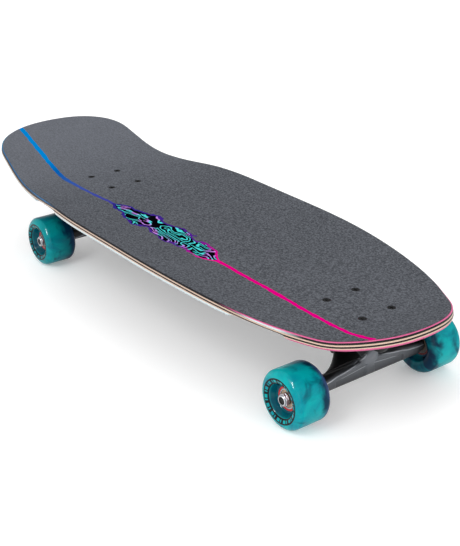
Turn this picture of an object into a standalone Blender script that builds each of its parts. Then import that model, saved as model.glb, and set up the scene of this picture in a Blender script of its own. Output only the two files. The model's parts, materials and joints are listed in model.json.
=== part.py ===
"""Cruiser skateboard: a laminated deck with a kicked tail, two kingpin trucks and four cored wheels.

X runs from the tail to the nose, Y to the left, Z up. The origin lies on the ground, under the
middle of the board. Each truck is modelled once, in its own frame: its origin is the middle of the
bolt pattern on the face that meets the riser, and +X points to the nearer end of the board.
"""

import bpy
import bmesh
from math import asin, ceil, copysign, cos, pi, radians, sin, sqrt, tan
from mathutils import Matrix, Vector

MM = 0.001
GAP = 0.3 * MM                      # between pieces that touch

# Deck, seen from above
DECK_WIDTH = 267 * MM
NOSE_OVERHANG = 69.4 * MM           # from the outer bolts to the tip
TAIL_OVERHANG = 153.3 * MM          # from the outer bolts to the tip
NOSE_ROUND_POWER = 2.4
TAIL_ROUND_LENGTH = 56 * MM
TAIL_ROUND_POWER = 2.4
TAPER_START = 108 * MM              # behind the widest place
TAPER_RADIUS = 500 * MM             # of the rail, where it turns into the taper
TAPER_ANGLE = radians(7.9)          # of the tapered rail to the board's length
TIP_HALF_WIDTH = 8 * MM             # the straight bit at each tip

# Deck, seen from the side and the end
DECK_THICKNESS = 10.6 * MM
DECK_TOP_ROUND = 0.9 * MM
DECK_BOTTOM_ROUND = 3.6 * MM
TAIL_ANGLE = radians(20.2)
TAIL_BEND_RADIUS = 187 * MM
NOSE_ANGLE = radians(14.5)
NOSE_BEND_RADIUS = 103 * MM
BEND_CLEARANCE = 4 * MM             # from the outer bolts to the start of a bend
FLAT_HALF_WIDTH = 34 * MM
CONCAVE_MIDDLE = 10.8 * MM
CONCAVE_NOSE = 7.5 * MM             # at the front truck's outer bolts
CONCAVE_NOSE_EASE = 200 * MM        # along the board, inwards from those bolts
CONCAVE_TAIL = 4.5 * MM             # at the rear truck's outer bolts
CONCAVE_TAIL_EASE = 100 * MM

# Wheel wells under the rails
WELL_OFFSET = 31.5 * MM             # from the pattern's middle towards the board's middle
WELL_LENGTH = 70 * MM
WELL_DEPTH = 3.85 * MM              # at the rail
WELL_REACH = 30 * MM                # in from the rail
WELL_POWER = 4

GRIP_THICKNESS = 0.8 * MM
GRIP_INSET = 0.2 * MM               # in from the deck's rounded edge

# Bolt pattern and bolts
WHEELBASE = 431.8 * MM              # between the inner bolts
PATTERN_LENGTH = 53.98 * MM
PATTERN_WIDTH = 41.28 * MM
BOLT_RADIUS = 2.4 * MM
BOLT_HEAD_RADIUS = 4.5 * MM
BOLT_HEAD_HEIGHT = 2.6 * MM
BOLT_HEAD_DEPTH = 0.3 * MM          # below the grip's surface
BOLT_NUT_WIDTH = 9.4 * MM           # across the flats
BOLT_NUT_HEIGHT = 5.5 * MM
BOLT_TIP = 5.2 * MM                 # past its nut

RISER_THICKNESS = 3.7 * MM
RISER_MARGIN = 1 * MM               # beyond the baseplate

# Steering: the line from the ring's middle up to the pivot is the axis that the hanger turns on
PIVOT_X = 32 * MM
PIVOT_DEPTH = 16 * MM               # below the mounting face
STEER_ANGLE = radians(26)           # of the steering axis to the deck
STEER_LENGTH = 53 * MM              # from the pivot to the ring's middle
STEER_SWING = radians(12)           # either way
AXLE_DROP = 25.1 * MM               # below the steering axis, along the kingpin

# Baseplate
BASEPLATE_OUTER_MARGIN = 16.5 * MM  # from the bolts to the flange's end
BASEPLATE_INNER_MARGIN = 21.5 * MM
BASEPLATE_SIDE_MARGIN = 7.4 * MM
BASEPLATE_THICKNESS = 5 * MM
BASEPLATE_OUTER_CORNER = 11 * MM
BASEPLATE_INNER_CORNER = 20 * MM
BASEPLATE_CHAMFER = 1 * MM
BOSS_TO_NUT = 0.9 * MM              # from the kingpin boss to the bolts' nuts
BOSS_CHAMFER = 1 * MM
PIVOT_BOSS_WALL = 2.5 * MM
PIVOT_BOSS_ANGLE = radians(60)      # of the cup's line to the deck
PIVOT_BOSS_SHOULDER = 5 * MM        # above the pivot, along the cup's line
PIVOT_BOSS_MOUTH = 3 * MM           # below the pivot, along the cup's line
PIVOT_BOSS_SPLAY = 2 * MM           # wider each side where it meets the flange
RIB_WIDTH = 7 * MM
RIB_DEPTH = 4 * MM                  # below the flange, at its middle
RIB_BITE = 3.5 * MM                 # into each boss

# Pivot
PIVOT_BALL_RADIUS = 6.1 * MM
PIVOT_NECK_RADIUS = 4.9 * MM
PIVOT_CUP_WALL = 1.5 * MM
PIVOT_CUP_CHAMFER = 3.4 * MM

# Hanger
HANGER_WIDTH = 164 * MM
HANGER_TUBE_RADIUS = 9.3 * MM
HANGER_END_RADIUS = 8 * MM
HANGER_END_LENGTH = 9 * MM
RING_MARGIN = 6 * MM                # beyond the bushing's seat
RING_THICKNESS = 9 * MM
RING_CHAMFER = 1.2 * MM
RING_PLAY = 3.25 * MM               # round the kingpin
SEAT_DEPTH = 1.6 * MM               # of each bushing's seat in the ring
POCKET_PLAY = 0.4 * MM              # round what the ring swings past
AXLE_WALL = 1.5 * MM                # between the pocket and the axle's bore
YOKE_HALF_WIDTH = 60 * MM           # where the yoke meets the axle tube
YOKE_STRAIGHT_HALF_WIDTH = 50 * MM  # the same without its flare
YOKE_LIFT = 10 * MM                 # of its lower end above the axle
YOKE_FOOT_LEAN = radians(30)        # of its thickness from upright, at the axle
YOKE_FLARE = 5                      # above 1, it flares most near the axle tube
FACE_REACH = 8.6 * MM               # of the front face, from the axle
FACE_HEIGHT = 10.4 * MM             # of its top edge above the axle, beside the arm
FACE_END_HEIGHT = 5.1 * MM
FACE_END = 23 * MM                  # from the hanger's end to the face's end
ARM_FOOT = 14 * MM                  # half the width of the arm's foot
ARM_HALF_WIDTH = 4.8 * MM
ARM_THICKNESS = 10 * MM
ARM_LEAN = 1.4                      # above 1, it leans out most near the pivot
FACE_PEAK = 2 * MM                  # more at the middle of the arm's foot
FACE_CHAMFER = 1.6 * MM             # along its top edge
PANEL_DEPTH = 1.5 * MM
PANEL_START = 5 * MM                # from the middle of the face
PANEL_END = 49 * MM
PANEL_MARGIN = 2.6 * MM             # below the face's top edge

# Kingpin and bushings
KINGPIN_RADIUS = 4.75 * MM
KINGPIN_HEAD_WIDTH = 14 * MM        # across the flats
KINGPIN_HEAD_HEIGHT = 5 * MM
KINGPIN_HEAD_DEPTH = 1 * MM         # of its highest corner below the mounting face
KINGPIN_NUT_WIDTH = 14 * MM
KINGPIN_NUT_HEIGHT = 7 * MM
KINGPIN_TIP = 1.5 * MM              # past its nut
UPPER_BUSHING_RADIUS = 12 * MM
UPPER_BUSHING_HEIGHT = 14 * MM
LOWER_BUSHING_RADIUS = 11.4 * MM
LOWER_BUSHING_END = 8.6 * MM
LOWER_BUSHING_HEIGHT = 11 * MM
BUSHING_SHOULDER = 3 * MM
BUSHING_CHAMFER = 1.2 * MM
WASHER_THICKNESS = 1.2 * MM
WASHER_LIP = 1 * MM

# Axle
AXLE_RADIUS = 4 * MM
AXLE_NUT_WIDTH = 12.7 * MM          # across the flats
AXLE_NUT_HEIGHT = 3.8 * MM
AXLE_COLLAR_RADIUS = 5.8 * MM
AXLE_COLLAR_HEIGHT = 1.6 * MM
AXLE_TIP = 0.4 * MM                 # past its nut

# Wheel
WHEEL_RADIUS = 32.5 * MM
WHEEL_WIDTH = 44 * MM
LIP_DEPTH = 7.7 * MM                # of the rounded lip, along the axle
FACE_RING = 4.3 * MM                # from the recess to the lip
RECESS_STEP = 1.8 * MM              # of the recess's edge below the face
RECESS_FLARE = 3.6 * MM
RECESS_FLOOR = 1.5 * MM             # round the core
CORE_WIDTH = 24 * MM
CORE_WALL = 1.9 * MM
SHOULDER_HEIGHT = 1.8 * MM          # that keeps the bearings apart
BEARING_RADIUS = 11 * MM
BEARING_WIDTH = 7 * MM
INNER_RACE = 2 * MM
SPEED_RING = 1.2 * MM               # the inner race's step past the bearing's face

# Faces round each turned piece
WHEEL_STEPS = 24
CORE_STEPS = 14
BEARING_STEPS = 14
TUBE_STEPS = 16
BUSHING_STEPS = 12
PIN_STEPS = 12
BOLT_STEPS = 8


# Materials
def material(name, colour, roughness, metallic=0.0):
    mat = bpy.data.materials.new(name)
    mat.use_nodes = True
    shader = mat.node_tree.nodes["Principled BSDF"]
    shader.inputs["Base Color"].default_value = (*colour, 1.0)
    shader.inputs["Roughness"].default_value = roughness
    shader.inputs["Metallic"].default_value = metallic
    mat.diffuse_color = (*colour, 1.0)
    return mat


def make_materials():
    return {
        "maple": material("maple", (0.62, 0.45, 0.32), 0.5),
        "grip": material("grip", (0.06, 0.06, 0.065), 0.95),
        "riser": material("riser", (0.015, 0.015, 0.017), 0.6),
        "baseplate": material("baseplate", (0.012, 0.012, 0.014), 0.4, 0.2),
        "hanger": material("hanger", (0.07, 0.072, 0.078), 0.35, 0.3),
        "steel": material("steel", (0.55, 0.55, 0.56), 0.25, 1.0),
        "black_steel": material("black_steel", (0.02, 0.02, 0.022), 0.35, 0.6),
        "bushing": material("bushing", (0.015, 0.015, 0.016), 0.55),
        "urethane": material("urethane", (0.0, 0.34, 0.38), 0.25),
        "core": material("core", (0.62, 0.06, 0.06), 0.4),
        "bearing": material("bearing", (0.5, 0.38, 0.28), 0.3, 0.9),
    }


# Mesh helpers
def mesh_of(verts, faces):
    mesh = bpy.data.meshes.new("shape")
    mesh.from_pydata([tuple(v) for v in verts], [], faces)
    bm = bmesh.new()
    bm.from_mesh(mesh)
    bmesh.ops.recalc_face_normals(bm, faces=bm.faces)
    bm.to_mesh(mesh)
    bm.free()
    return mesh


def turned(profile, steps):
    """Turn (radius, height) points about Z. A profile that starts and ends on the axis is capped;
    any other is closed on itself, which leaves a bore."""
    verts, rings = [], []
    for radius, height in profile:
        if radius == 0:
            rings.append([len(verts)] * steps)
            verts.append((0, 0, height))
            continue
        rings.append(list(range(len(verts), len(verts) + steps)))
        verts += [(x, y, height) for x, y in polygon(radius, steps)]
    pairs = list(zip(rings, rings[1:]))
    if profile[0][0] > 0:
        pairs.append((rings[-1], rings[0]))
    faces = []
    for low, high in pairs:
        for i in range(steps):
            j = (i + 1) % steps
            faces.append(list(dict.fromkeys([low[i], low[j], high[j], high[i]])))
    return mesh_of(verts, faces)


def lofted(sections):
    """A solid through closed sections of equal length, with flat ends."""
    count = len(sections[0])
    verts = [point for section in sections for point in section]
    faces = [list(range(count)), list(range(len(verts) - count, len(verts)))]
    for start in range(0, len(verts) - count, count):
        for i in range(count):
            j = (i + 1) % count
            faces.append([start + i, start + j, start + count + j, start + count + i])
    return mesh_of(verts, faces)


def prism(outline, low, high):
    """An (x, y) outline stood between two heights."""
    return lofted([[(x, y, z) for x, y in outline] for z in (low, high)])


def side_prism(outline, half_width):
    """An (x, z) outline, as wide each side of the middle."""
    return lofted([[(x, y, z) for x, z in outline] for y in (-half_width, half_width)])


def polygon(radius, steps):
    angles = [2 * pi * (i + 0.5) / steps for i in range(steps)]
    return [(radius * cos(angle), radius * sin(angle)) for angle in angles]


def hexagon(width):
    return polygon(corner_radius(width), 6)


def corner_radius(width):
    """Of a hexagon, from its width across the flats."""
    return width / 2 / cos(pi / 6)


def clear_of(radius, steps):
    """The corner radius of a hole whose flats clear a round piece."""
    return (radius + GAP) / cos(pi / steps)


def rounded_rectangle(x_start, x_end, half_width, start_corner, end_corner, corner_steps=2):
    points = []
    for turn, (x_side, y_side) in enumerate(((1, 1), (-1, 1), (-1, -1), (1, -1))):
        corner = end_corner if x_side > 0 else start_corner
        middle_x = x_end - corner if x_side > 0 else x_start + corner
        middle_y = y_side * (half_width - corner)
        for i in range(corner_steps + 1):
            angle = pi / 2 * (turn + i / corner_steps)
            points.append((middle_x + corner * cos(angle), middle_y + corner * sin(angle)))
    return points


def oval(middle, direction, half_length, half_width, steps=12, fullness=1.0):
    """A ring of points round a place on the middle plane, in the plane of Y and a direction that
    lies in the middle plane. A fullness under 1 squares it up."""
    points = []
    for cosine, sine in polygon(1, steps):
        along_it = copysign(abs(cosine) ** fullness, cosine) * half_length
        across = copysign(abs(sine) ** fullness, sine) * half_width
        points.append(middle + direction * along_it + Vector((0, across, 0)))
    return points


def combined(mesh, others, operation):
    """The mesh after a Boolean with each of the others in turn."""
    scene = bpy.context.scene.collection
    body = bpy.data.objects.new("body", mesh)
    scene.objects.link(body)
    tools = []
    for other in others:
        tool = bpy.data.objects.new("tool", other)
        tool.display_type = "WIRE"
        tool.hide_render = True
        scene.objects.link(tool)
        tools.append(tool)
        step = body.modifiers.new(operation.lower(), "BOOLEAN")
        step.operation = operation
        step.object = tool
        step.solver = "EXACT"
    bpy.context.view_layer.update()
    graph = bpy.context.evaluated_depsgraph_get()
    result = bpy.data.meshes.new_from_object(body.evaluated_get(graph))
    for thing in [body, *tools]:
        data = thing.data
        bpy.data.objects.remove(thing)
        bpy.data.meshes.remove(data)
    return result


def moved(mesh, matrix):
    mesh.transform(matrix)
    return mesh


def along(direction, point):
    """The matrix that stands Z along a direction at a point."""
    turn = Vector((0, 0, 1)).rotation_difference(Vector(direction)).to_matrix().to_4x4()
    return Matrix.Translation(point) @ turn


def place(name, mesh, mat, parent=None, location=(0, 0, 0), rotation=(0, 0, 0)):
    thing = bpy.data.objects.new(name, mesh)
    bpy.context.scene.collection.objects.link(thing)
    if not mesh.materials:
        mesh.materials.append(mat)
    mesh.shade_smooth()
    mesh.set_sharp_from_angle(angle=radians(35))
    thing.parent = parent
    thing.location = location
    thing.rotation_euler = rotation


def guide(name, parent=None, location=(0, 0, 0), rotation=(0, 0, 0)):
    empty = bpy.data.objects.new(name, None)
    bpy.context.scene.collection.objects.link(empty)
    empty.parent = parent
    empty.location = location
    empty.rotation_euler = rotation
    empty.empty_display_size = 0.02
    return empty


# Along the kingpin: distances from the ring's middle, negative towards the deck
RING_FLOOR = RING_THICKNESS / 2 - SEAT_DEPTH
UPPER_BUSHING_TOP = -RING_FLOOR - GAP - UPPER_BUSHING_HEIGHT
UPPER_WASHER_TOP = UPPER_BUSHING_TOP - GAP - WASHER_THICKNESS
BOSS_FACE = UPPER_WASHER_TOP - GAP
LOWER_BUSHING_TOP = RING_FLOOR + GAP
LOWER_WASHER_TOP = LOWER_BUSHING_TOP + LOWER_BUSHING_HEIGHT + GAP
KINGPIN_NUT_TOP = LOWER_WASHER_TOP + WASHER_THICKNESS + GAP
KINGPIN_NUT_END = KINGPIN_NUT_TOP + KINGPIN_NUT_HEIGHT
KINGPIN_END = KINGPIN_NUT_END + KINGPIN_TIP

# Radii round the kingpin
BUSHING_BORE = clear_of(KINGPIN_RADIUS, BUSHING_STEPS)
RING_BORE = KINGPIN_RADIUS + RING_PLAY
UPPER_SEAT_RADIUS = clear_of(UPPER_BUSHING_RADIUS, TUBE_STEPS)
RING_RADIUS = UPPER_SEAT_RADIUS + RING_MARGIN
LOWER_TAPER = (LOWER_BUSHING_RADIUS - LOWER_BUSHING_END) / (LOWER_BUSHING_HEIGHT - BUSHING_SHOULDER)
UPPER_LIP_RADIUS = UPPER_BUSHING_RADIUS + GAP
LOWER_LIP_RADIUS = LOWER_BUSHING_END + LOWER_TAPER * (WASHER_LIP + GAP) + GAP
SWEPT_RADIUS = max(LOWER_BUSHING_RADIUS,
                   LOWER_LIP_RADIUS + WASHER_THICKNESS + KINGPIN_NUT_TOP * sin(STEER_SWING),
                   corner_radius(KINGPIN_NUT_WIDTH) + KINGPIN_NUT_END * sin(STEER_SWING))
POCKET_RADIUS = SWEPT_RADIUS + POCKET_PLAY

# Places in the truck's frame. The kingpin stands square to the steering axis.
LENGTHWISE = Vector((1, 0, 0))
UPWARD = Vector((0, 0, 1))
STEER_AXIS = Vector((cos(STEER_ANGLE), 0, sin(STEER_ANGLE)))
KINGPIN_DOWN = Vector((sin(STEER_ANGLE), 0, -cos(STEER_ANGLE)))
CUP_DOWN = Vector((-cos(PIVOT_BOSS_ANGLE), 0, -sin(PIVOT_BOSS_ANGLE)))
CUP_ACROSS = Vector((sin(PIVOT_BOSS_ANGLE), 0, -cos(PIVOT_BOSS_ANGLE)))
PIVOT = Vector((PIVOT_X, 0, -PIVOT_DEPTH))
RING = PIVOT - STEER_LENGTH * STEER_AXIS
AXLE_BORE = clear_of(AXLE_RADIUS, PIN_STEPS)
AXLE = RING + (POCKET_RADIUS + AXLE_WALL + AXLE_BORE) * STEER_AXIS + AXLE_DROP * KINGPIN_DOWN
KINGPIN_HEAD_CORNER = corner_radius(KINGPIN_HEAD_WIDTH)
KINGPIN_HEAD_RISE = KINGPIN_HEAD_DEPTH + KINGPIN_HEAD_CORNER * sin(STEER_ANGLE)
KINGPIN_START = (RING.z + KINGPIN_HEAD_RISE) / cos(STEER_ANGLE)
KINGPIN_HEAD_END = KINGPIN_START + KINGPIN_HEAD_HEIGHT

# Baseplate and pivot cup
BASEPLATE_START = -PATTERN_LENGTH / 2 - BASEPLATE_INNER_MARGIN
BASEPLATE_END = PATTERN_LENGTH / 2 + BASEPLATE_OUTER_MARGIN
BASEPLATE_HALF_WIDTH = PATTERN_WIDTH / 2 + BASEPLATE_SIDE_MARGIN
KINGPIN_BOSS_RADIUS = PATTERN_WIDTH / 2 - corner_radius(BOLT_NUT_WIDTH) - BOSS_TO_NUT
CUP_HOLLOW = clear_of(PIVOT_BALL_RADIUS, BEARING_STEPS) / cos(pi / BEARING_STEPS)
PIVOT_CUP_RADIUS = CUP_HOLLOW + PIVOT_CUP_WALL
CUP_BORE = clear_of(PIVOT_CUP_RADIUS, BEARING_STEPS)
PIVOT_BOSS_RADIUS = CUP_BORE + PIVOT_BOSS_WALL

# Along the axle, from the middle of the truck
HUB_START = HANGER_WIDTH / 2 + GAP + SPEED_RING
WHEEL_Y = HUB_START + CORE_WIDTH / 2
HUB_END = HUB_START + CORE_WIDTH
AXLE_NUT_Y = HUB_END + SPEED_RING + GAP
AXLE_HALF_LENGTH = AXLE_NUT_Y + AXLE_NUT_HEIGHT + AXLE_COLLAR_HEIGHT + AXLE_TIP

# Heights, from the ground up
MOUNT_Z = WHEEL_RADIUS - AXLE.z
RISER_Z = MOUNT_Z + GAP
DECK_BOTTOM_Z = RISER_Z + RISER_THICKNESS + GAP
DECK_TOP_Z = DECK_BOTTOM_Z + DECK_THICKNESS
GRIP_TOP_Z = DECK_TOP_Z + GAP + GRIP_THICKNESS
BOLT_TOP_Z = GRIP_TOP_Z - BOLT_HEAD_DEPTH
BOLT_NUT_Z = MOUNT_Z - BASEPLATE_THICKNESS - GAP - BOLT_NUT_HEIGHT
BOLT_LENGTH = BOLT_TOP_Z - BOLT_NUT_Z + BOLT_TIP

# Places along the board. Its lower edge reaches past the riding side at both kicked ends.
RIDING_LENGTH = TAIL_OVERHANG + WHEELBASE + 2 * PATTERN_LENGTH + NOSE_OVERHANG
EDGE_DROP = DECK_THICKNESS - DECK_BOTTOM_ROUND
TAIL_TIP_X = (EDGE_DROP * (sin(TAIL_ANGLE) - sin(NOSE_ANGLE)) - RIDING_LENGTH) / 2
NOSE_TIP_X = TAIL_TIP_X + RIDING_LENGTH
REAR_TRUCK_X = TAIL_TIP_X + TAIL_OVERHANG + PATTERN_LENGTH / 2
FRONT_TRUCK_X = NOSE_TIP_X - NOSE_OVERHANG - PATTERN_LENGTH / 2
MIDDLE_X = (FRONT_TRUCK_X + REAR_TRUCK_X) / 2
NOSE_BEND_X = FRONT_TRUCK_X + PATTERN_LENGTH / 2 + BEND_CLEARANCE
TAIL_BEND_X = REAR_TRUCK_X - PATTERN_LENGTH / 2 - BEND_CLEARANCE
TAPER_X = MIDDLE_X - TAPER_START
TAIL_ROUND_X = TAIL_TIP_X + TAIL_ROUND_LENGTH


# Deck surface
def ease(t):
    t = min(max(t, 0.0), 1.0)
    return (1 - cos(pi * t)) / 2


def superellipse(t, power):
    return (1 - min(max(t, 0.0), 1.0) ** power) ** (1 / power)


def bend(distance, radius, angle):
    """Height and slope angle at a distance past the start of a bend that ends in a straight run."""
    if distance <= 0:
        return 0.0, 0.0
    arc = radius * sin(angle)
    if distance < arc:
        return radius - sqrt(radius ** 2 - distance ** 2), asin(distance / radius)
    return radius * (1 - cos(angle)) + (distance - arc) * tan(angle), angle


def half_width(x):
    """Half the width of the riding side: a long round nose, a straight taper and a squarer tail."""
    if x > MIDDLE_X:
        width = DECK_WIDTH / 2 * superellipse((x - MIDDLE_X) / (NOSE_TIP_X - MIDDLE_X), NOSE_ROUND_POWER)
    else:
        width = DECK_WIDTH / 2 - bend(TAPER_X - x, TAPER_RADIUS, TAPER_ANGLE)[0]
        width *= superellipse((TAIL_ROUND_X - x) / TAIL_ROUND_LENGTH, TAIL_ROUND_POWER)
    return max(width, TIP_HALF_WIDTH)


def flat_width(x):
    """Half the width of the level middle, which narrows towards the tips."""
    return min(FLAT_HALF_WIDTH, half_width(x) / 2)


def concave(x):
    """How high the rails would rise at the board's full width."""
    if x > MIDDLE_X:
        start, share = CONCAVE_NOSE, (FRONT_TRUCK_X + PATTERN_LENGTH / 2 - x) / CONCAVE_NOSE_EASE
    else:
        start, share = CONCAVE_TAIL, (x - REAR_TRUCK_X + PATTERN_LENGTH / 2) / CONCAVE_TAIL_EASE
    return start + (CONCAVE_MIDDLE - start) * ease(share)


def deck_point(x, y, depth):
    """A point a depth below the deck's top face, square to its lengthwise curve."""
    nose_rise, nose_slope = bend(x - NOSE_BEND_X, NOSE_BEND_RADIUS, NOSE_ANGLE)
    tail_rise, tail_slope = bend(TAIL_BEND_X - x, TAIL_BEND_RADIUS, TAIL_ANGLE)
    slope = nose_slope - tail_slope
    side = max(abs(y) - flat_width(x), 0.0) / (DECK_WIDTH / 2 - FLAT_HALF_WIDTH)
    height = DECK_TOP_Z + nose_rise + tail_rise + concave(x) * side ** 2
    return (x + depth * sin(slope), y, height - depth * cos(slope))


def spread(start, end, spacing):
    """Even stations from a start up to, but not at, an end."""
    count = ceil((end - start) / spacing)
    return [start + (end - start) * i / count for i in range(count)]


def deck_rows():
    """Stations along the board, closer together in the bends and the round ends."""
    tail_steps, nose_steps = 6, 12
    tail_spacing, middle_spacing = 20 * MM, 48 * MM
    rows = []
    for i in range(tail_steps):
        out = cos(pi / 2 * i / tail_steps) ** (2 / TAIL_ROUND_POWER)
        rows.append(TAIL_ROUND_X - TAIL_ROUND_LENGTH * out)
    rows += spread(TAIL_ROUND_X, TAIL_BEND_X, tail_spacing)
    rows += spread(TAIL_BEND_X, MIDDLE_X, middle_spacing)
    for i in range(nose_steps + 1):
        out = sin(pi / 2 * i / nose_steps) ** (2 / NOSE_ROUND_POWER)
        rows.append(MIDDLE_X + (NOSE_TIP_X - MIDDLE_X) * out)
    return rows


def deck_row(x, inset, depth):
    """Points across the board at one station of an outline that is drawn in by an inset."""
    middle = (TAIL_TIP_X + NOSE_TIP_X) / 2
    drawn_x = middle + (x - middle) * (1 - inset / (RIDING_LENGTH / 2))
    rim = half_width(x) - inset
    flat = min(flat_width(drawn_x), 0.8 * rim)
    side = [flat + (rim - flat) * share for share in (0, 0.4, 0.75, 1)]
    return [deck_point(drawn_x, y, depth) for y in [-y for y in reversed(side)] + side]


def rim_of(grid):
    """The grid's outer items, once round."""
    rights = [row[0] for row in grid]
    lefts = [row[-1] for row in grid]
    return rights + grid[-1][1:-1] + lefts[::-1] + grid[0][-2:0:-1]


def slab(layers):
    """A solid that follows the deck. Layers are (inset, depth) pairs from the top down; the first
    and the last are the faces, and those between only run round the edge."""
    verts, faces, loops = [], [], []
    for number, (inset, depth) in enumerate(layers):
        points = [deck_row(x, inset, depth) for x in deck_rows()]
        if number in (0, len(layers) - 1):
            width = len(points[0])
            grid = [[len(verts) + i * width + j for j in range(width)] for i in range(len(points))]
            verts += [point for row in points for point in row]
            loops.append(rim_of(grid))
            for a, b in zip(grid, grid[1:]):
                faces += [[a[i], b[i], b[i + 1], a[i + 1]] for i in range(width - 1)]
        else:
            rim = rim_of(points)
            loops.append(list(range(len(verts), len(verts) + len(rim))))
            verts += rim
    for upper, lower in zip(loops, loops[1:]):
        for i in range(len(upper)):
            j = (i + 1) % len(upper)
            faces.append([upper[i], upper[j], lower[j], lower[i]])
    return mesh_of(verts, faces)


# Bolts
def bolt_places():
    """The pattern's four holes, in the truck's frame."""
    return [(x_side * PATTERN_LENGTH / 2, y_side * PATTERN_WIDTH / 2)
            for x_side in (1, -1) for y_side in (1, -1)]


def at_bolts(mesh_maker):
    """One copy of a mesh at each hole of the pattern."""
    return [moved(mesh_maker(), Matrix.Translation((x, y, 0))) for x, y in bolt_places()]


def bolt_mesh(grow=0.0):
    """The countersunk bolt, or its hole when grown. Height 0 is the top of its head."""
    head = BOLT_HEAD_RADIUS + grow
    shank = BOLT_RADIUS + grow
    profile = [(0, grow), (head, grow), (head, -grow), (shank, -BOLT_HEAD_HEIGHT - grow),
               (shank, -BOLT_LENGTH - grow), (0, -BOLT_LENGTH - grow)]
    return turned(profile, BOLT_STEPS)


def bolt_hole(radius, low, high):
    return prism(polygon(radius + GAP, BOLT_STEPS), low, high)


def at_both_trucks(mesh_maker, height):
    """A mesh at every bolt of both patterns. The pattern looks the same from either end."""
    shapes = []
    for truck_x in (FRONT_TRUCK_X, REAR_TRUCK_X):
        for shape in at_bolts(mesh_maker):
            shapes.append(moved(shape, Matrix.Translation((truck_x, 0, height))))
    return shapes


# Deck and grip
def wheel_wells():
    """Cutters for the shallow scoops under the rails, deepest at the rail."""
    steps, overrun, dip = 3, 6 * MM, 0.6 * MM
    shapes = []
    for truck_x, inwards in ((FRONT_TRUCK_X, -1), (REAR_TRUCK_X, 1)):
        for side in (1, -1):
            sections = []
            for step in range(-steps, steps + 1):
                share = sin(pi / 2 * step / steps)
                x = truck_x + inwards * WELL_OFFSET + WELL_LENGTH / 2 * share
                rail = half_width(x)
                depth = (WELL_DEPTH + dip) * superellipse(abs(share), WELL_POWER) - dip
                inner_z = deck_point(x, rail - WELL_REACH, DECK_THICKNESS)[2] - dip
                rail_z = deck_point(x, rail, DECK_THICKNESS)[2] + depth
                outer_z = rail_z + (rail_z - inner_z) * overrun / WELL_REACH
                low_z = inner_z - overrun
                outline = ((rail + overrun, outer_z), (rail - WELL_REACH, inner_z),
                           (rail - WELL_REACH, low_z), (rail + overrun, low_z))
                sections.append([(x, side * y, z) for y, z in outline])
            shapes.append(lofted(sections))
    return shapes


def deck_mesh():
    shell = slab([(DECK_TOP_ROUND, 0), (0, DECK_TOP_ROUND), (0, DECK_THICKNESS - DECK_BOTTOM_ROUND),
                  (DECK_BOTTOM_ROUND, DECK_THICKNESS)])
    holes = at_both_trucks(lambda: bolt_mesh(GAP), BOLT_TOP_Z)
    return combined(shell, holes + wheel_wells(), "DIFFERENCE")


def griptape_mesh():
    inset = DECK_TOP_ROUND + GRIP_INSET
    sheet = slab([(inset, -GAP - GRIP_THICKNESS), (inset, -GAP)])
    reach = 2 * GRIP_THICKNESS
    holes = at_both_trucks(lambda: bolt_hole(BOLT_HEAD_RADIUS, -reach, reach), GRIP_TOP_Z)
    return combined(sheet, holes, "DIFFERENCE")


# Truck pieces that stay with the deck
def kingpin_solid(profile, steps):
    """A turned solid on the kingpin's line; heights are distances from the ring's middle."""
    return moved(turned(profile, steps), along(KINGPIN_DOWN, RING))


def cup_solid(profile, steps):
    """A turned solid on the pivot cup's line; heights are distances below the pivot."""
    return moved(turned(profile, steps), along(CUP_DOWN, PIVOT))


def flange_outline(grow=0.0):
    return rounded_rectangle(BASEPLATE_START - grow, BASEPLATE_END + grow, BASEPLATE_HALF_WIDTH + grow,
                             BASEPLATE_INNER_CORNER + grow, BASEPLATE_OUTER_CORNER + grow)


def riser_mesh():
    plate = prism(flange_outline(RISER_MARGIN), 0, RISER_THICKNESS)
    holes = at_bolts(lambda: bolt_hole(BOLT_RADIUS, -RISER_THICKNESS, 2 * RISER_THICKNESS))
    return combined(plate, holes, "DIFFERENCE")


def flange_mesh():
    sections = []
    for height, inset in ((-BASEPLATE_THICKNESS, BASEPLATE_CHAMFER),
                          (BASEPLATE_CHAMFER - BASEPLATE_THICKNESS, 0), (0, 0)):
        sections.append([(x, y, height) for x, y in flange_outline(-inset)])
    return lofted(sections)


def kingpin_boss():
    """From a round face square to the kingpin up into the flange."""
    foot_z = -BASEPLATE_THICKNESS / 2
    foot = RING + KINGPIN_DOWN * ((RING.z - foot_z) / cos(STEER_ANGLE))
    face = RING + KINGPIN_DOWN * BOSS_FACE
    radius = KINGPIN_BOSS_RADIUS
    return lofted([
        oval(face, STEER_AXIS, radius - BOSS_CHAMFER, radius - BOSS_CHAMFER, TUBE_STEPS),
        oval(face - BOSS_CHAMFER * KINGPIN_DOWN, STEER_AXIS, radius, radius, TUBE_STEPS),
        oval(foot, LENGTHWISE, radius, radius, TUBE_STEPS)])


def pivot_boss():
    """From the cup's mouth up into the flange, no farther out than the flange's end."""
    mouth = PIVOT + PIVOT_BOSS_MOUTH * CUP_DOWN
    shoulder = PIVOT - PIVOT_BOSS_SHOULDER * CUP_DOWN
    radius = PIVOT_BOSS_RADIUS
    foot_length = radius + PIVOT_BOSS_SPLAY / 2
    foot = Vector((BASEPLATE_END - foot_length, 0, -BASEPLATE_THICKNESS / 2))
    return lofted([
        oval(mouth, CUP_ACROSS, radius - BOSS_CHAMFER, radius - BOSS_CHAMFER, TUBE_STEPS),
        oval(mouth - BOSS_CHAMFER * CUP_DOWN, CUP_ACROSS, radius, radius, TUBE_STEPS),
        oval(shoulder, CUP_ACROSS, radius, radius, TUBE_STEPS),
        oval(foot, LENGTHWISE, foot_length, radius + PIVOT_BOSS_SPLAY, TUBE_STEPS)])


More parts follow.
